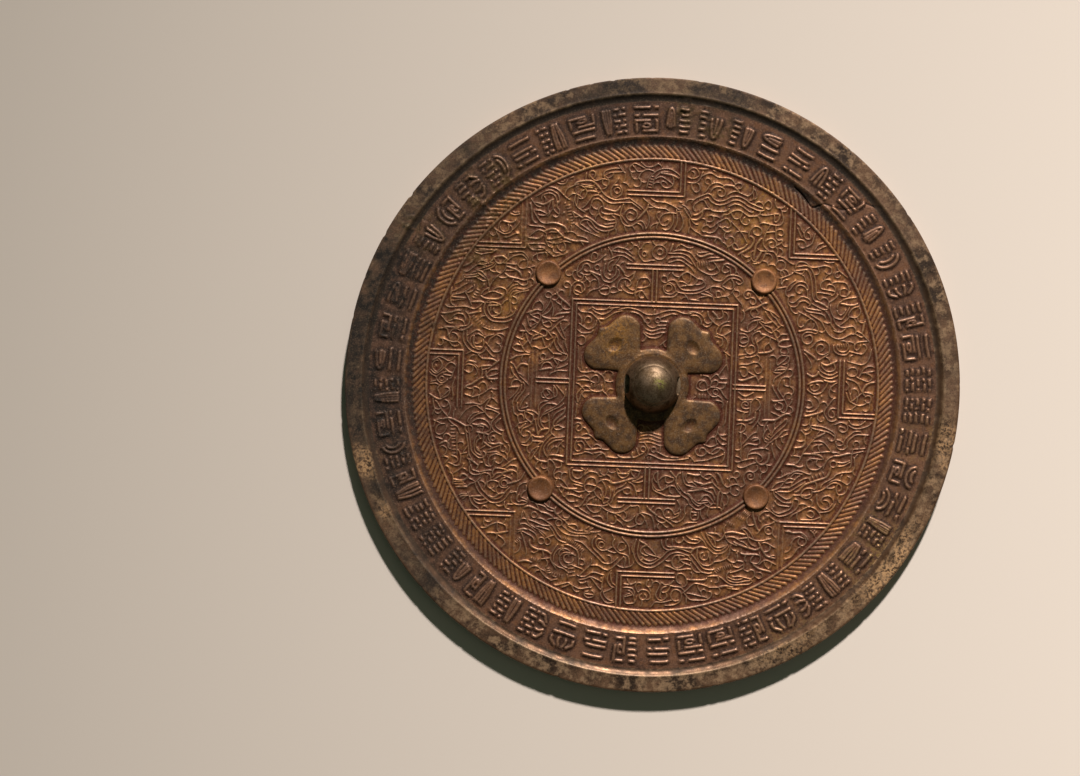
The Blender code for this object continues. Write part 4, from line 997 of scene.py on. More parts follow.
def calyxHeights():
    # the grid's part with the calyx; pillow-edged petals with their pits, and a low collar round the knob's
    # foot; and how surely a place lies on a petal
    loop = calyxOutline()
    half = calyx["tip"] + 2
    part = slice(*[int((relief["reach"] + side * half) / relief["cell"]) for side in (-1, 1)])
    x, y = gridX[part, part], gridY[part, part]
    inside = np.zeros(x.shape, bool)
    after = np.roll(loop, -1, axis=0)
    for row in range(x.shape[0]):
        level = y[row, 0]
        cross = (loop[:, 1] > level) != (after[:, 1] > level)
        a, b = loop[cross], after[cross]
        at = np.sort(a[:, 0] + (level - a[:, 1]) / (b[:, 1] - a[:, 1]) * (b[:, 0] - a[:, 0]))
        inside[row] = np.searchsorted(at, x[row]) % 2 == 1
    reach = calyx["domeReach"]
    depth = np.full(x.shape, reach, np.float32)
    k = int(reach / relief["cell"])
    base = np.round((loop - [x[0, 0], y[0, 0]]) / relief["cell"]).astype(int)
    for (i, j), (px, py) in zip(base, loop):
        near = (slice(max(0, j - k), j + k), slice(max(0, i - k), i + k))
        depth[near] = np.minimum(depth[near], np.hypot(x[near] - px, y[near] - py))
    t = np.clip(depth / calyx["edgeWidth"], 0, 1)
    lift = calyx["height"] * np.sqrt(1 - (1 - t) ** 2) * inside
    lift += calyx["dome"] * np.sin(np.clip(depth / reach, 0, 1) * math.pi / 2) * inside
    for angle in petalAngles:
        turn = math.radians(angle)
        px, py = polar(angle, calyx["pitDistance"])
        across = (x - px) * math.cos(turn) - (y - py) * math.sin(turn)
        along = (x - px) * math.sin(turn) + (y - py) * math.cos(turn)
        bowl = np.clip(1 - (across / calyx["pitLong"]) ** 2 - (along / calyx["pitShort"]) ** 2, 0, 1)
        lift -= calyx["pitDepth"] * bowl
    lift += calyx["collarHeight"] * bell(np.hypot(x, y) - calyx["collar"], calyx["collarWidth"])
    return part, lift.astype(np.float32), np.clip(depth / 0.4, 0, 1) * inside


def relievedHeights():
    heights = baseHeights() + stampThreads()
    c = casting
    for radius, tall in ((c["ringInner"], c["ringHeight"]), (c["ringOuter"], c["ringHeight"]),
                         (c["borderLine"], c["borderHeight"])):
        d = np.abs(gridR - radius) / c["ridgeHalfWidth"]
        heights = np.maximum(heights, c["fieldZ"] + tall * np.clip(1 - d * d, 0, 1) ** c["round"])
    part, petals, _ = calyxHeights()
    heights[part, part] = np.maximum(heights[part, part], c["fieldZ"] + petals)
    return heights


# How close the mesh points lie, and the seams and flat bottoms of the relief's pieces inside the body
tiles = {
    "along": 0.3, "circle": 0.33, "ground": 0.66, "scatter": 0.28, "merge": 0.1, "clear": 0.36,
    "shoulder": 0.58, "foot": 1.02, "bottom": 1.2, "margin": 0.09,
    "squareSeam": 0.62, "rimSeam": 86.35, "bandSeam": 75.75, "combSeam": 69.45,
}


def circle(radius, step):
    count = int(math.ceil(2 * math.pi * radius / step))
    t = np.arange(count) * 2 * math.pi / count
    return np.stack([radius * np.cos(t), radius * np.sin(t)], axis=1)


def cellNumbers(points, size):
    # one number for each square of that size
    cell = np.floor((points + 100) / size).astype(np.int64)
    return cell[:, 0] * 100000 + cell[:, 1]


def meshPoints():
    # rows along every raised line, then the open ground; earlier ones win where they crowd
    crests, feet, shoulders = [], [], []
    for route, width, _ in threads:
        fine = resample(route, tiles["along"])
        half = np.interp(np.linspace(0, 1, len(fine)), np.linspace(0, 1, len(width)), width)
        crests.append(fine)
        shoulders += [offset(fine, half * tiles["shoulder"]), offset(fine, -half * tiles["shoulder"])]
        feet += [offset(fine, half * tiles["foot"]), offset(fine, -half * tiles["foot"])]
        ends = (fine[0] - fine[1], fine[-1] - fine[-2])
        for tip, lean, reach in ((fine[0], ends[0], half[0]), (fine[-1], ends[1], half[-1])):
            feet.append((tip + lean / max(np.hypot(*lean), 1e-6) * reach)[None, :])
    c = casting
    rings = [radius + k * c["ridgeHalfWidth"] for radius in (c["ringInner"], c["ringOuter"], c["borderLine"])
             for k in (-1, -0.55, 0, 0.55, 1)]
    rings += [c["combOuter"] + k for k in (-0.35, -0.1, 0.2, 0.7, 1.2, 1.6, 1.9, 2.2)]
    crests += [circle(radius, tiles["circle"]) for radius in rings]
    loop = calyxOutline()
    around = np.vstack([loop[-1:], loop, loop[:1]])
    crests += [offset(around, inward)[1:-1] for inward in (-0.14, 0.0, 0.14, 0.34, 0.6, 0.85)]
    for angle in petalAngles:
        for share in (0.3, 0.55, 0.75, 0.9, 1.0, 1.1, 1.3):
            oval = circle(1.0, 0.3 / (1.6 * share)) * [calyx["pitLong"] * share, calyx["pitShort"] * share]
            crests.append(turned(oval, -angle) + polar(angle, calyx["pitDistance"]))
    crests += [circle(calyx["collar"] + k, 0.4) for k in (-0.8, -0.45, -0.2, 0.0, 0.2, 0.45, 0.8)]
    split = resample(crackRoute(), 0.2)
    crests += [offset(split, side * crack["halfWidth"]) for side in (-1.6, -0.8, 0.0, 0.8, 1.6)]
    lined = np.vstack(crests + feet + shoulders)
    reach, step = tiles["rimSeam"], tiles["ground"]
    n = int(2 * reach / step)
    ground = np.stack(np.meshgrid(np.arange(n), np.arange(n)), axis=-1).reshape(-1, 2) * step - reach
    scatter = np.random.default_rng(8).uniform(-tiles["scatter"], tiles["scatter"], ground.shape)
    ground = ground + scatter * step
    crowded = np.isin(cellNumbers(ground, tiles["clear"]), cellNumbers(lined, tiles["clear"]))
    ground = ground[~crowded]
    everything = np.vstack([lined, ground])
    _, first = np.unique(cellNumbers(everything, tiles["merge"]), return_index=True)
    return everything[np.sort(first)]


def triangulated(points, edges, inside):
    # triangles over the points, never across the given edges, kept where inside() says so
    result = geometry.delaunay_2d_cdt([Vector(p) for p in points], edges.tolist(), [], 0, 1e-7)
    plan = np.array([(v.x, v.y) for v in result[0]])
    triangles = np.array(result[2], dtype=np.int64)
    middle = plan[triangles].mean(axis=1)
    triangles = triangles[inside(middle[:, 0], middle[:, 1])]
    a, b, c = plan[triangles[:, 0]], plan[triangles[:, 1]], plan[triangles[:, 2]]
    area = (b[:, 0] - a[:, 0]) * (c[:, 1] - a[:, 1]) - (b[:, 1] - a[:, 1]) * (c[:, 0] - a[:, 0])
    triangles[area < 0] = triangles[area < 0][:, ::-1]
    return plan, triangles


def meshObject(name, points, triangles):
    # points in millimetres
    mesh = bpy.data.meshes.new(name)
    mesh.vertices.add(len(points))
    mesh.vertices.foreach_set("co", (np.asarray(points) * mm).astype(np.float32).ravel())
    mesh.loops.add(len(triangles) * 3)
    mesh.loops.foreach_set("vertex_index", np.asarray(triangles, np.int32).ravel())
    mesh.polygons.add(len(triangles))
    mesh.polygons.foreach_set("loop_start", np.arange(len(triangles), dtype=np.int32) * 3)
    mesh.polygons.foreach_set("loop_total", np.full(len(triangles), 3, np.int32))
    mesh.update(calc_edges=True)
    mesh.validate()
    mesh.shade_smooth()
    mesh.set_sharp_from_angle(angle=math.radians(72))
    return placedObject(name, mesh)


def placedObject(name, content):
    item = bpy.data.objects.new(name, content)
    bpy.context.scene.collection.objects.link(item)
    return item


def reliefPiece(name, points, loops, inside):
    # the relief above, plain walls along the seams and a flat bottom
    flat = [points[inside(points[:, 0], points[:, 1], tiles["margin"])]]
    edges, total = [], len(flat[0])
    for loop in loops:
        k = np.arange(len(loop))
        edges.append(np.stack([total + k, total + (k + 1) % len(loop)], axis=1))
        flat.append(loop)
        total += len(loop)
    plan, top = triangulated(np.vstack(flat), np.vstack(edges), inside)
    used = np.unique(top)
    renumber = np.full(len(plan), -1)
    renumber[used] = np.arange(len(used))
    plan, top = plan[used], renumber[top]
    edges = np.vstack([top[:, [0, 1]], top[:, [1, 2]], top[:, [2, 0]]])
    key = np.sort(edges, axis=1)
    key = key[:, 0] * len(plan) + key[:, 1]
    _, where, count = np.unique(key, return_index=True, return_counts=True)
    border = edges[where[count == 1]]
    seam = np.unique(border)
    lower = np.full(len(plan), -1)
    lower[seam] = np.arange(len(seam))
    floorPlan, floor = triangulated(plan[seam], lower[border], inside)
    if len(floorPlan) != len(seam):
        print(name, "has", len(floorPlan) - len(seam), "extra points in its bottom")
    below = lower + len(plan)
    walls = np.vstack([np.stack([border[:, 1], border[:, 0], below[border[:, 0]]], axis=1),
                       np.stack([border[:, 1], below[border[:, 0]], below[border[:, 1]]], axis=1)])
    upper = np.column_stack([plan, sampled(heights, plan[:, 0], plan[:, 1])])
    under = np.column_stack([plan[seam], np.full(len(seam), tiles["bottom"])])
    return meshObject(name, np.vstack([upper, under]), np.vstack([top, walls, floor[:, ::-1] + len(plan)]))


def ringZone(inner, outer, start=None, end=None):
    # a test for places between two radii, and between two angles clockwise from the top
    def inside(x, y, margin=0.0):
        r = np.hypot(x, y)
        ok = (r > inner + margin) & (r < outer - margin)
        if start is not None:
            a = np.degrees(np.arctan2(x, y)) % 360
            side = margin / np.maximum(r, 1) * 57.3
            ok &= (a > start + side) & (a < end - side)
        return ok
    return inside


def sectorLoop(inner, outer, start, end):
    # once round a sector, its arcs and its two straight seams
    def bow(radius):
        count = int(math.ceil(math.radians(end - start) * radius / tiles["circle"]))
        return [polar(a, radius) for a in np.linspace(start, end, count + 1)]
    side = np.linspace(inner, outer, int((outer - inner) / 0.22))[1:-1]
    return np.array(bow(inner) + [polar(end, r) for r in side] + bow(outer)[::-1]
                    + [polar(start, r) for r in side[::-1]])


def squareLoop(half):
    n = int(2 * half / tiles["circle"])
    run = np.linspace(-half, half, n + 1)[:-1]
    return np.array([(v, -half) for v in run] + [(half, v) for v in run]
                    + [(-v, half) for v in run] + [(-half, -v) for v in run])


def latheObject(name, profile, columns, shape):
    # a profile of (radius, height) once round; shape(radius, angle, height, row) may move each ring of points
    angles = np.arange(columns) * 2 * math.pi / columns
    points, rows = [], []
    for row, (radius, height) in enumerate(profile):
        if radius == 0:
            rows.append([len(points)])
            points.append((0.0, 0.0, height))
            continue
        r, z = shape(np.full(columns, float(radius)), angles, np.full(columns, float(height)), row)
        rows.append(list(range(len(points), len(points) + columns)))
        points += list(zip(r * np.cos(angles), r * np.sin(angles), z))
    triangles = []
    for upper, lower in zip(rows[:-1], rows[1:]):
        for k in range(columns):
            nextK = (k + 1) % columns
            if len(upper) == 1:
                triangles.append((upper[0], lower[k], lower[nextK]))
            elif len(lower) == 1:
                triangles.append((upper[k], lower[0], upper[nextK]))
            else:
                triangles += [(upper[k], lower[k], lower[nextK]), (upper[k], lower[nextK], upper[nextK])]
    return meshObject(name, points, triangles)


def stage(message):
    print(f"{time.time() - started:6.1f} s  {message}")


stage("drawing the scrolls")
keepClear()
raiseMarks()
raiseDrawn()
fillField(47.5, 67.5)
fillField(26.0, 43.6, 0.7)
fillField(12.0, 35.0, 0.4)
raiseInscription()
raiseComb()

stage("raising the relief")
heights = relievedHeights()

# Casting skin: broad unevenness, small pits and lumps of crust, in millimetres
skin = {
    "swell": 0.035, "swellSize": 9.0, "waves": 0.05, "waveSize": 3.2, "grain": 0.022, "grainSize": 1.1,
    "pitting": 0.1, "pitSize": 1.6, "pitShare": 0.75, "lumps": 0.35, "lumpSize": 1.6,
}
heights += skin["swell"] * clouds(skin["swellSize"], 11, 2)
heights += skin["waves"] * clouds(skin["waveSize"], 15, 2) * (gridR < casting["borderLine"])
heights += skin["grain"] * clouds(skin["grainSize"], 21, 2)
heights -= skin["pitting"] * np.clip(clouds(skin["pitSize"], 31, 2) - skin["pitShare"], 0, 1)

cracked = np.zeros_like(heights)
for x, y in resample(crackRoute(), 0.1):
    i, j = int((x + relief["reach"]) / relief["cell"]), int((y + relief["reach"]) / relief["cell"])
    near = (slice(j - 12, j + 13), slice(i - 12, i + 13))
    d = np.hypot(gridX[near] - x, gridY[near] - y)
    strength = 1 if math.hypot(x, y) < crack["step"] else crack["thin"]
    cracked[near] = np.maximum(cracked[near], strength * bell(d, crack["halfWidth"]))
heights -= crack["depth"] * cracked

# Places where the corrosion lies thick or the gilding shows, as (angle, radius, size, strength)
crustPlaces = [(318, 76, 9, 1.0), (301, 84, 7, 0.8), (5, 84, 5, 0.7), (11, 80, 6, 0.8), (322, 55, 8, 0.6),
               (284, 63, 6, 0.6), (305, 66, 9, 0.7)]
giltPlaces = [(28, 58, 13, 1.0), (338, 66, 8, 0.6), (305, 60, 10, 0.6), (350, 45, 12, 0.4),
              (180, 50, 10, 0.4), (296, 52, 7, 0.5), (318, 19, 6, 0.9), (125, 90, 13, 1.0),
              (100, 90, 10, 0.5), (150, 90, 10, 0.5), (253, 92, 5, 1.2), (243, 91, 3, 0.9)]
# darker patches round the rim and band, most of all on the left and at the top, as (angle, radius, size,
# strength)
darkerPlaces = [(272, 89, 19, 1.0), (252, 90, 15, 1.0), (290, 88, 14, 1.0), (318, 91, 14, 0.6),
               (347, 91, 15, 0.6), (228, 90, 12, 0.6), (10, 91, 13, 0.6), (55, 91, 8, 0.3),
               (86, 91, 12, 0.35), (232, 81, 13, 0.35), (302, 81, 13, 0.35)]

# The steps are darker, most of all on the given side towards the top left, and their lips and the edge are
# rubbed, as (radius, half width, strength); on the steps' upper side the darkness is painted shade where the
# slopes face away from the light, on the left it is dirt. Wear compares each place with its surroundings,
# wearReach to each side; besides the rubbing it gives the crests a painted highlight and the hollows painted
# shade.
patina = {
    "shadedSteps": [(74.0, 1.35, 1.3), (87.3, 1.05, 1.3)], "shadeSide": (-0.423, 0.906), "shadeLean": 0.9,
    "rubbedLips": [(74.3, 1.0, 0.5), (87.5, 0.85, 1.0), (mirrorRadius, 0.7, 1.0)],
    "wearReach": 0.6, "wearHeight": 0.13, "petalWear": 0.65, "shelter": 0.85,
}


def patches(places, ragged, seed):
    # soft-edged patches with ragged outlines
    total = np.zeros((cells, cells), np.float32)
    for angle, radius, size, strength in places:
        x, y = polar(angle, radius)
        total += strength * np.exp(-((gridX - x) ** 2 + (gridY - y) ** 2) / size ** 2)
    return np.clip(total * (1 + ragged * clouds(4, seed, 3)), 0, 1)


crust = patches(crustPlaces, 0.9, 41)
gilt = patches(giltPlaces, 0.9, 51)
grimeAndShade = patches(darkerPlaces, 0.5, 61) * (1 - patina["shelter"] * gilt)
# painted shade: the steps darken most towards the top left, where on the upper side their slopes face away
# from the light; on the left it is dirt
sideX, sideY = patina["shadeSide"]
shaded = np.clip(0.5 + patina["shadeLean"] * (sideY * gridY + sideX * gridX) / np.maximum(gridR, 1), 0, 1)
for radius, reach, share in patina["shadedSteps"]:
    grimeAndShade = np.maximum(grimeAndShade, np.minimum(1, share * shaded) * bell(gridR - radius, reach, 4))
heights += skin["lumps"] * (np.clip(clouds(skin["lumpSize"], 71, 3), 0, 1) * crust)
# wear and painted shading: the crests count as rubbed and get a painted highlight, the hollows get painted
# shade
wearAndShading = np.clip((heights - blurred(heights, patina["wearReach"])) / patina["wearHeight"], -1, 1)
wearAndShading = np.minimum(wearAndShading, 1 - crack["dark"] * cracked)
petals = np.zeros_like(heights)
petalPart, _, onPetal = calyxHeights()
petals[petalPart, petalPart] = onPetal
wearAndShading *= 1 - patina["petalWear"] * petals
polish = np.zeros_like(heights)
for radius, reach, share in patina["rubbedLips"]:
    polish = np.maximum(polish, share * bell(gridR - radius, reach, 4))
polish *= np.clip(0.75 + 0.5 * clouds(3.0, 81, 3), 0, 1) * (1 - patina["shelter"] * shaded)
surfaceFields = {
    "wearAndShading": wearAndShading, "gilt": gilt, "grimeAndShade": grimeAndShade, "crust": crust, "petal": petals, "polish": polish,
}


def pointsOf(mesh):
    # its points in the mesh's own unit
    co = np.empty(len(mesh.vertices) * 3, np.float32)
    mesh.vertices.foreach_get("co", co)
    return co.reshape(-1, 3)


def tellFinish(mesh, name, values):
    # what the finish needs to know at each point: worn or hollow, with the painted shade and highlights that
    # go with it, gilt, darker by dirt and by painted shade, crusted, on a petal, rubbed
    mesh.attributes.new(name, "FLOAT", "POINT").data.foreach_set("value", values.astype(np.float32))


stage("placing the mesh points")
points = meshPoints()
squareHalf = marks["squareSide"] / 2 + tiles["squareSeam"]


def insideSquare(x, y, margin=0.0):
    return np.maximum(np.abs(x), np.abs(y)) < squareHalf - margin


def insideRing(x, y, margin=0.0):
    return (np.hypot(x, y) < ringMiddle - margin) & (np.maximum(np.abs(x), np.abs(y)) > squareHalf + margin)


# The casting's cuts along its grooves and steps: each one's seams and the test for places on it
combR, bandR, rimR = tiles["combSeam"], tiles["bandSeam"], tiles["rimSeam"]
seamSquare = squareLoop(squareHalf)
seamRing, seamComb, seamBand, seamRim = [circle(r, tiles["circle"]) for r in (ringMiddle, combR, bandR, rimR)]
cuts = {
    "knob_square": ([seamSquare], insideSquare),
    "inner_field": ([seamSquare, seamRing], insideRing),
    "comb_band": ([seamComb, seamBand], ringZone(combR, bandR)),
    "inscription_band": ([seamBand, seamRim], ringZone(bandR, rimR)),
}
fieldCuts = 3
for part in range(fieldCuts):
    sector = (ringMiddle, combR, part * 360 / fieldCuts, (part + 1) * 360 / fieldCuts)
    cuts[f"outer_field_{part + 1}"] = ([sectorLoop(*sector)], ringZone(*sector))
pieces = {name: reliefPiece(name, points, loops, inside) for name, (loops, inside) in cuts.items()}
stage("the relief is meshed")

# Rim, edge and polished face as one turned body with a recess under the relief; the edge is a little nicked
body = {
    "columns": 1100, "rowStep": 0.36, "edge": 0.35, "recess": 1.15, "faceStep": 16.0,
    "shrink": 0.06, "wobble": 0.05, "wobbles": 3, "nicks": 0.7, "nickPitch": 40, "nickShare": 0.32,
}


def bodyProfile():
    # the path runs from the recess out over the rim, down the edge and in under the polished face
    outer, top, e = mirrorRadius, casting["rimZ"], body["edge"]
    profile = [(r, body["recess"]) for r in (0, rimR * 0.5, rimR - 1.0, rimR)]
    onRelief = float("nan")      # bodyShape gives these rows their height
    profile += [(r, onRelief) for r in np.arange(rimR, outer - e - 0.05, body["rowStep"])]
    for a in [math.pi / 2 * k / 5 for k in range(6)]:
        profile.append((outer - e + e * math.sin(a), top - e + e * math.cos(a)))
    profile += [(outer, top * 0.75), (outer, top * 0.5), (outer, top * 0.25)]
    for a in [math.pi / 2 * k / 4 for k in range(5)]:
        profile.append((outer - e + e * math.cos(a), e - e * math.sin(a)))
    profile += [(r, 0.0) for r in np.arange(outer - 3, 1, -body["faceStep"])]
    profile.append((0, 0.0))
    return profile


def bodyShape(radius, angle, height, row):
    # the top follows the relief; the edge is a little nicked and uneven
    if np.isnan(height).all():
        return radius, sampled(heights, radius * np.cos(angle), radius * np.sin(angle))
    if radius[0] > mirrorRadius - 2 and height[0] > 0.4:
        def around(times, level):
            return np.array([noise.noise((times * math.cos(a), times * math.sin(a), level)) for a in angle])
        wobble = around(body["wobbles"], height[0] * 0.1)
        nicks = np.maximum(0.0, around(body["nickPitch"], 7.0) - body["nickShare"])
        return radius - body["shrink"] - body["wobble"] * wobble - body["nicks"] * nicks, height - 0.02
    return radius, height


pieces["mirror_body"] = latheObject("mirror_body", bodyProfile(), body["columns"], bodyShape)
for item in pieces.values():
    co = pointsOf(item.data) / mm
    for name, field in surfaceFields.items():
        tellFinish(item.data, name, sampled(field, co[:, 0], co[:, 1]))
stage("the body is turned")

# The knob: a steep-sided dome on the hub with a slot for the cord along X, a turned mark round its top,
# shallow dents, and a yellow-green spot as (x, y, reach)
knob = {
    "radius": 8.75, "foot": 3.75, "tunnelWidth": 5.6, "tunnelFloor": 4.0, "tunnelTop": 8.8, "corner": 2.3,
    "voxel": 0.17, "stepRadius": 5.9, "stepWidth": 0.28, "stepDepth": 0.1, "soften": 6,
    "dentPitch": 0.25, "dents": 0.05, "shrink": 0.04, "spot": (2.0, 0.5, 1.5),
}


def knobMesh():
    # turned, then cut, then remeshed so that every edge is rounded as in a casting
    steps, foot, wide = 28, knob["foot"], knob["radius"]
    height = knobTop - 0.03 - foot
    dome = [(0, foot + height)]
    for a in [math.pi / 2 * k / steps for k in range(1, steps)]:
        dome.append((wide * math.sin(a), foot + height * math.cos(a) ** 0.95))
    dome += [(wide, foot + 0.3), (wide + 0.15, foot - 0.1), (wide + 0.2, foot - 0.5), (0, foot - 0.5)]
    turnedKnob = latheObject("knob", dome, 96, lambda r, a, z, row: (r, z))
    turnedKnob.data.transform(Matrix.Scale(1 / mm, 4))
    half, c = knob["tunnelWidth"] / 2, knob["corner"]
    low, high = knob["tunnelFloor"], knob["tunnelTop"]
    section = [(-half, low), (half, low)]
    for side in (1, -1):
        for k in range(9):
            a = math.pi / 2 * (k if side == 1 else 8 - k) / 8
            section.append((side * (half - c + c * math.cos(a)), high - c + c * math.sin(a)))
    slot = bmesh.new()
    ends = [[slot.verts.new((x, y, z)) for y, z in section] for x in (-12, 12)]
    for end in ends:
        slot.faces.new(end)
    for k in range(len(section)):
        n = (k + 1) % len(section)
        slot.faces.new((ends[0][k], ends[0][n], ends[1][n], ends[1][k]))
    bmesh.ops.recalc_face_normals(slot, faces=slot.faces)
    mesh = bpy.data.meshes.new("cord_slot")
    slot.to_mesh(mesh)
    slot.free()
    cutter = placedObject("cord_slot", mesh)
    cut = turnedKnob.modifiers.new("slot", "BOOLEAN")
    cut.operation = "DIFFERENCE"
    cut.solver = "EXACT"
    cut.object = cutter
    remesh = turnedKnob.modifiers.new("skin", "REMESH")
    remesh.mode = "VOXEL"
    remesh.voxel_size = knob["voxel"]
    soften = turnedKnob.modifiers.new("soften", "SMOOTH")
    soften.factor = 0.5
    soften.iterations = knob["soften"]
    bpy.context.view_layer.update()
    graph = bpy.context.evaluated_depsgraph_get()
    mesh = bpy.data.meshes.new_from_object(turnedKnob.evaluated_get(graph))
    bpy.data.objects.remove(turnedKnob)
    bpy.data.objects.remove(cutter)
    co = pointsOf(mesh)
    onDome = co[:, 2] > knob["tunnelTop"] + 0.3
    turnMark = bell(np.hypot(co[:, 0], co[:, 1]) - knob["stepRadius"], knob["stepWidth"]) * onDome
    co[:, 2] -= knob["stepDepth"] * turnMark
    pitch = knob["dentPitch"]
    dents = np.array([noise.fractal((x * pitch, y * pitch, z * pitch), 1.0, 2.0, 4) for x, y, z in co])
    outward = np.stack([co[:, 0], co[:, 1], np.maximum(co[:, 2] - 6, 0)], axis=1)
    outward /= np.maximum(np.linalg.norm(outward, axis=1), 1e-3)[:, None]
    co += outward * (knob["dents"] * dents[:, None] - knob["shrink"])
    co[:, 2] = np.minimum(co[:, 2], knobTop)
    mesh.vertices.foreach_set("co", (co * mm).ravel())
    mesh.update()
    spotX, spotY, reach = knob["spot"]
    tellFinish(mesh, "gilt", bell(np.hypot(co[:, 0] - spotX, co[:, 1] - spotY), reach) * onDome)
    mesh.shade_smooth()
    return placedObject("knob", mesh)


pieces["knob"] = knobMesh()


def bossProfile():
    top, r, dish = boss["height"], boss["radius"], boss["dish"]
    path = [(r * k / 12, top - dish * (1 - (k / 12 / 0.8) ** 2)) for k in range(10)]
    path += [(r * 0.8, top - 0.03), (r * 0.86, top), (r * 0.91, top - 0.06), (r * 0.955, top - 0.22)]
    path += [(r * 0.985, top * 0.5), (r, 0.15), (r + 0.15, 0.02), (r + 0.2, -0.8), (0, -0.8)]
    return [(radius, casting["fieldZ"] + z) for radius, z in path]


def bossShape(radius, angle, height, row):
    uneven = np.array([noise.noise((r * 0.4 * math.cos(a), r * 0.4 * math.sin(a), row * 0.02))
                       for r, a in zip(radius, angle)])
    return radius, height + (boss["uneven"] * uneven - 0.02 if row < 14 else 0)


for number, place in enumerate(bossPlaces()):
    name = f"boss_{number + 1}"
    pieces[name] = latheObject(name, bossProfile(), 72, bossShape)
    for vertex in pieces[name].data.vertices:
        vertex.co.x += place[0] * mm
        vertex.co.y += place[1] * mm
stage("knob and bosses are made")


def linear(code):
    # an sRGB hex colour as Blender's linear one
    parts = [int(code[i:i + 2], 16) / 255 for i in (1, 3, 5)]
    return [p / 12.92 if p <= 0.04045 else ((p + 0.055) / 1.055) ** 2.4 for p in parts] + [1.0]


def addNode(tree, kind, values=None, links=None, **settings):
    node = tree.nodes.new(kind)
    for key, value in settings.items():
        setattr(node, key, value)
    for socket, value in (values or {}).items():
        node.inputs[socket].default_value = value
    for socket, source in (links or {}).items():
        tree.links.new(source, node.inputs[socket])
    return node


# Fire-gilt cast bronze: a thin gold skin, warm and half glossy where it is rubbed, with painted shade in the
# hollows and a painted highlight on the crests
giltBronze = {
    "ground": "#996738", "groundOther": "#6c4a37", "stain": "#5e3e29", "crest": "#b69c88",
    "hollow": "#481a03", "gilt": "#966a2e", "crust": "#5f4520", "grimeAndShade": "#1d140c", "petal": "#735330",
    "petalOther": "#453220", "polish": "#54463d", "metallic": 0.54, "rough": 0.52, "crestRough": 0.43,
}

# Cast bronze with a brown oxide skin: purplish, duller than the gilt field
brownBronze = dict(
    giltBronze, ground="#74513c", groundOther="#5a3f31", stain="#70492e", crest="#b59076", hollow="#2c1507",
    gilt="#86693c", crust="#604a28", grimeAndShade="#17100a", polish="#62493c",
    metallic=0.5, rough=0.5, crestRough=0.42,
)

# Cast bronze with a tin-rich patina in brown and grey blotches, rubbed by hands
oliveBronze = dict(
    giltBronze, ground="#6c503b", groundOther="#302116", stain="#9a7d60", crest="#8c7459", hollow="#180e06",
    gilt="#c39a70", crust="#4f4426", grimeAndShade="#150e08", polish="#6a4d38",
    metallic=0.45, rough=0.5, crestRough=0.42,
)

# The knob's own darker bronze, handled and so the glossiest part; its gilt colour is the yellow-green spot
handledBronze = dict(
    giltBronze, ground="#8f7a65", groundOther="#675340", stain="#54432f", crest="#a08c74", hollow="#140d07",
    gilt="#94904c", metallic=0.96, rough=0.48, crestRough=0.42,
)

# The bosses stand proud of the field and are rubbed to a dull tan
rubbedBronze = dict(
    giltBronze, ground="#98663f", groundOther="#744a2c", stain="#6a452c", metallic=0.4, rough=0.5,
)

# Sizes of the patterns in millimetres, as judged, with their detail. The grain of the casting is too fine
# to show, so the finest pattern is drawn coarser than it.
grain = {"patch": (13.0, 4.0), "mottle": (2.2, 5.0), "fine": (0.4, 3.0), "speck": (0.9, 2.0)}
bumpHeight = 0.08


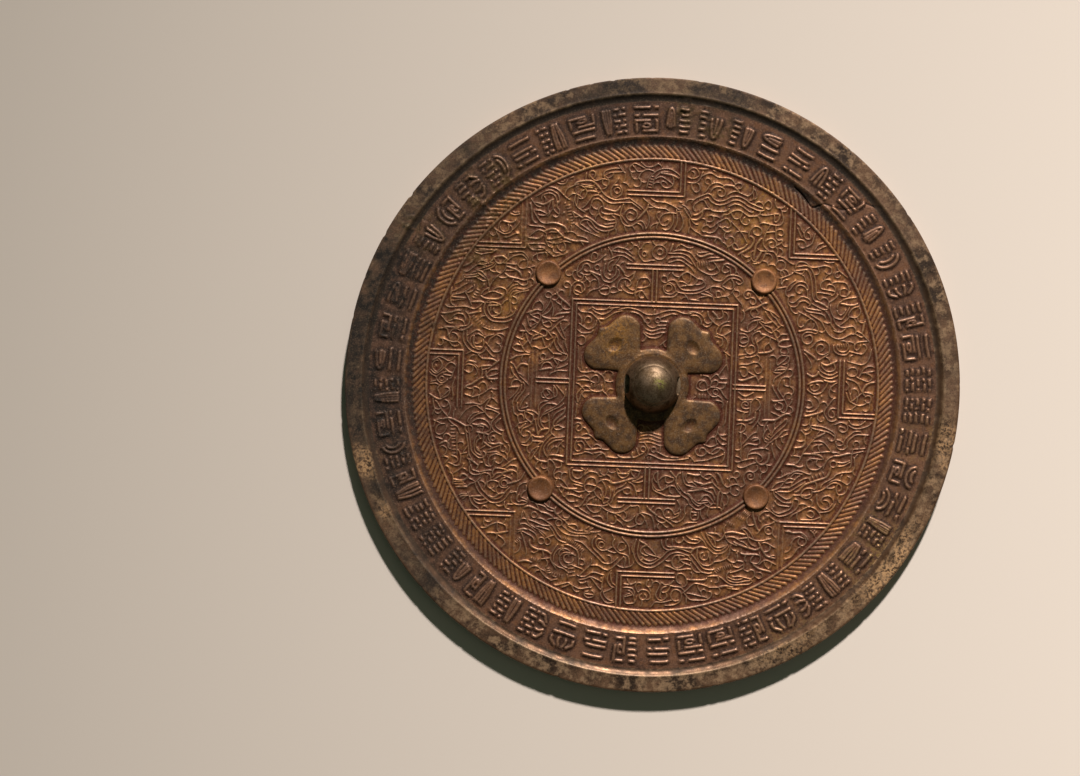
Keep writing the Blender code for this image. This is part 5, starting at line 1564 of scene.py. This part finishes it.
def castBronze(name, look):
    material = bpy.data.materials.new(name)
    material.use_nodes = True
    tree = material.node_tree
    tree.nodes.clear()
    place = addNode(tree, "ShaderNodeTexCoord").outputs["Object"]
    noises = {}
    for part, (size, detail) in grain.items():
        values = {"Scale": 1 / (size * mm), "Detail": detail, "Roughness": 0.62}
        noises[part] = addNode(tree, "ShaderNodeTexNoise", values, {"Vector": place}).outputs[0]
    known = {part: addNode(tree, "ShaderNodeAttribute", attribute_name=part).outputs["Fac"]
             for part in surfaceFields}

    def ranged(source, low, high, to=(0.0, 1.0)):
        values = {"From Min": low, "From Max": high, "To Min": to[0], "To Max": to[1]}
        return addNode(tree, "ShaderNodeMapRange", values, {"Value": source}).outputs[0]

    def mixed(amount, values, links):
        # sockets 6 and 7 are the two colours
        return addNode(tree, "ShaderNodeMix", values, {0: amount, **links}, data_type="RGBA").outputs[2]

    def layered(under, colour, amount):
        return mixed(amount, {7: linear(look[colour])}, {6: under})

    def worked(kind, a, b):
        return addNode(tree, "ShaderNodeMath", {}, {0: a, 1: b}, operation=kind).outputs[0]

    def polished(value, rubbedValue):
        # sockets 2 and 3 are the two numbers
        return addNode(tree, "ShaderNodeMix", {3: rubbedValue}, {0: known["polish"], 2: value}).outputs[0]

    def patchy(part, grainPart, low, high, to=(0.0, 1.0)):
        return worked("MULTIPLY", known[part], ranged(noises[grainPart], low, high, to))

    base = mixed(ranged(noises["patch"], 0.42, 0.6),
                 {6: linear(look["ground"]), 7: linear(look["groundOther"])}, {})
    petal = mixed(ranged(noises["mottle"], 0.4, 0.62),
                  {6: linear(look["petal"]), 7: linear(look["petalOther"])}, {})
    base = layered(base, "stain", ranged(noises["mottle"], 0.47, 0.62, (0.0, 0.8)))
    base = mixed(known["petal"], {}, {6: base, 7: petal})
    base = layered(base, "gilt", patchy("gilt", "speck", 0.42, 0.56))
    # painted shade, darker in the hollows of the relief
    base = layered(base, "hollow", ranged(known["wearAndShading"], -0.03, -0.5, (0.0, 0.92)))
    # a painted highlight on the crests, together with their rubbed gilding
    rubbedAndHighlit = ranged(known["wearAndShading"], 0.2, 0.95, (0.0, 0.42))
    base = layered(base, "crest", worked("MULTIPLY", rubbedAndHighlit, ranged(noises["speck"], 0.2, 0.65)))
    base = layered(base, "crust", patchy("crust", "mottle", 0.4, 0.62))
    # darker patches, and the steps darkened by dirt on the left and by painted shade on their upper side
    base = layered(base, "grimeAndShade", patchy("grimeAndShade", "mottle", 0.2, 0.55))
    base = layered(base, "hollow", ranged(noises["fine"], 0.5, 0.72, (0.0, 0.6)))
    base = layered(base, "crest", ranged(noises["fine"], 0.46, 0.28, (0.0, 0.3)))
    base = layered(base, "polish", patchy("polish", "fine", 0.2, 0.6, (0.35, 0.8)))

    # rough in the hollows and on the darker patches and steps, smoother on what hands have rubbed
    rough = ranged(known["wearAndShading"], -0.6, 0.9, (look["rough"] + 0.14, look["crestRough"]))
    rough = polished(rough, look["crestRough"] - 0.04)
    rough = worked("ADD", rough, ranged(noises["mottle"], 0.3, 0.7, (-0.07, 0.09)))
    rough = worked("ADD", rough, ranged(known["grimeAndShade"], 0.0, 1.0, (0.0, 0.22)))
    metal = ranged(known["grimeAndShade"], 0.0, 1.0, (look["metallic"], look["metallic"] * 0.5))
    metal = polished(metal, 0.7)
    bump = addNode(tree, "ShaderNodeBump", {"Strength": 0.4, "Distance": bumpHeight * mm},
                   {"Height": noises["fine"]}).outputs[0]
    shader = addNode(tree, "ShaderNodeBsdfPrincipled", {},
                     {"Base Color": base, "Roughness": rough, "Metallic": metal, "Normal": bump})
    addNode(tree, "ShaderNodeOutputMaterial", {}, {"Surface": shader.outputs[0]})
    return material


looks = {
    "fire_gilt_cast_bronze": giltBronze, "brown_patina_cast_bronze": brownBronze,
    "olive_patina_cast_bronze": oliveBronze, "handled_cast_bronze": handledBronze,
    "rubbed_cast_bronze": rubbedBronze,
}
finishes = {name: castBronze(name, look) for name, look in looks.items()}
otherFinishes = {
    "inscription_band": "brown_patina_cast_bronze", "mirror_body": "olive_patina_cast_bronze",
    "knob": "handled_cast_bronze",
}
otherFinishes.update({name: "rubbed_cast_bronze" for name in pieces if name.startswith("boss")})
for name, item in pieces.items():
    item.data.materials.append(finishes[otherFinishes.get(name, "fire_gilt_cast_bronze")])
    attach(item, "root")
    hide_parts("bronze_mirror")
    print(name, len(item.data.polygons), "faces")
stage("finishes are on")

# The camera looks straight down, turned a little against the pattern as in the photograph
view = {"lens": 70.0, "sensor": 36.0, "width": 328.6, "turn": 2.2, "right": -34.2, "up": -0.9, "plane": 4.5}
turn = math.radians(view["turn"])
right = Vector((math.cos(turn), math.sin(turn), 0))
up = Vector((-math.sin(turn), math.cos(turn), 0))
camera = placedObject("camera", bpy.data.cameras.new("camera"))
camera.data.lens = view["lens"]
camera.data.sensor_width = view["sensor"]
camera.data.clip_start = 0.01
camera.data.clip_end = 20
distance = view["width"] * view["lens"] / view["sensor"]
centre = (right * view["right"] + up * view["up"]) * mm
camera.matrix_world = Matrix((
    (right.x, up.x, 0, centre.x),
    (right.y, up.y, 0, centre.y),
    (0, 0, 1, (distance + view["plane"]) * mm),
    (0, 0, 0, 1),
))
bpy.context.scene.camera = camera

# Soft studio light from the top of the picture, a little from the right, with a weak fill, and a pale floor;
# turn in degrees clockwise from the picture's top, distance and size in metres, aim a place on the floor
keyLight = {
    "turn": 13.0, "height": 39.0, "distance": 2.4, "size": 0.17, "power": 9.6, "aim": (0.36, -0.55),
    "colour": "#fff6ee",
}
fillLight = {
    "turn": 80.0, "height": 70.0, "distance": 1.2, "size": 0.6, "power": 0.02, "aim": (0.1, -0.1),
    "colour": "#f6ecd6",
}
studio = {"spread": 47.0, "floor": "#d6ccc3", "floorRough": 0.85, "world": 0.082, "sky": "#c8e0c0"}


def areaLight(name, lamp):
    a, e = math.radians(lamp["turn"]), math.radians(lamp["height"])
    direction = up * (math.cos(a) * math.cos(e)) + right * (math.sin(a) * math.cos(e))
    direction += Vector((0, 0, math.sin(e)))
    light = bpy.data.lights.new(name, "AREA")
    light.shape = "DISK"
    light.size = lamp["size"]
    light.energy = lamp["power"]
    light.color = linear(lamp["colour"])[:3]
    light.spread = math.radians(studio["spread"])
    item = placedObject(name, light)
    item.location = direction * lamp["distance"]
    towards = item.location - (right * lamp["aim"][0] + up * lamp["aim"][1])
    item.rotation_mode = "QUATERNION"
    item.rotation_quaternion = towards.to_track_quat("Z", "Y")


areaLight("key", keyLight)
areaLight("fill", fillLight)
floorMesh = bpy.data.meshes.new("floor")
floorMesh.from_pydata([(-3, -3, 0), (3, -3, 0), (3, 3, 0), (-3, 3, 0)], [], [(0, 1, 2, 3)])
paint = bpy.data.materials.new("matt_floor_paint")
paint.use_nodes = True
paintShader = paint.node_tree.nodes["Principled BSDF"]
paintShader.inputs["Base Color"].default_value = linear(studio["floor"])
paintShader.inputs["Roughness"].default_value = studio["floorRough"]
floorMesh.materials.append(paint)
placedObject("floor", floorMesh)
world = bpy.data.worlds.new("studio")
bpy.context.scene.world = world
world.use_nodes = True
world.node_tree.nodes["Background"].inputs["Color"].default_value = linear(studio["sky"])
world.node_tree.nodes["Background"].inputs["Strength"].default_value = studio["world"]
bpy.context.scene.view_settings.view_transform = "Standard"

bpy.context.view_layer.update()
stage("done")
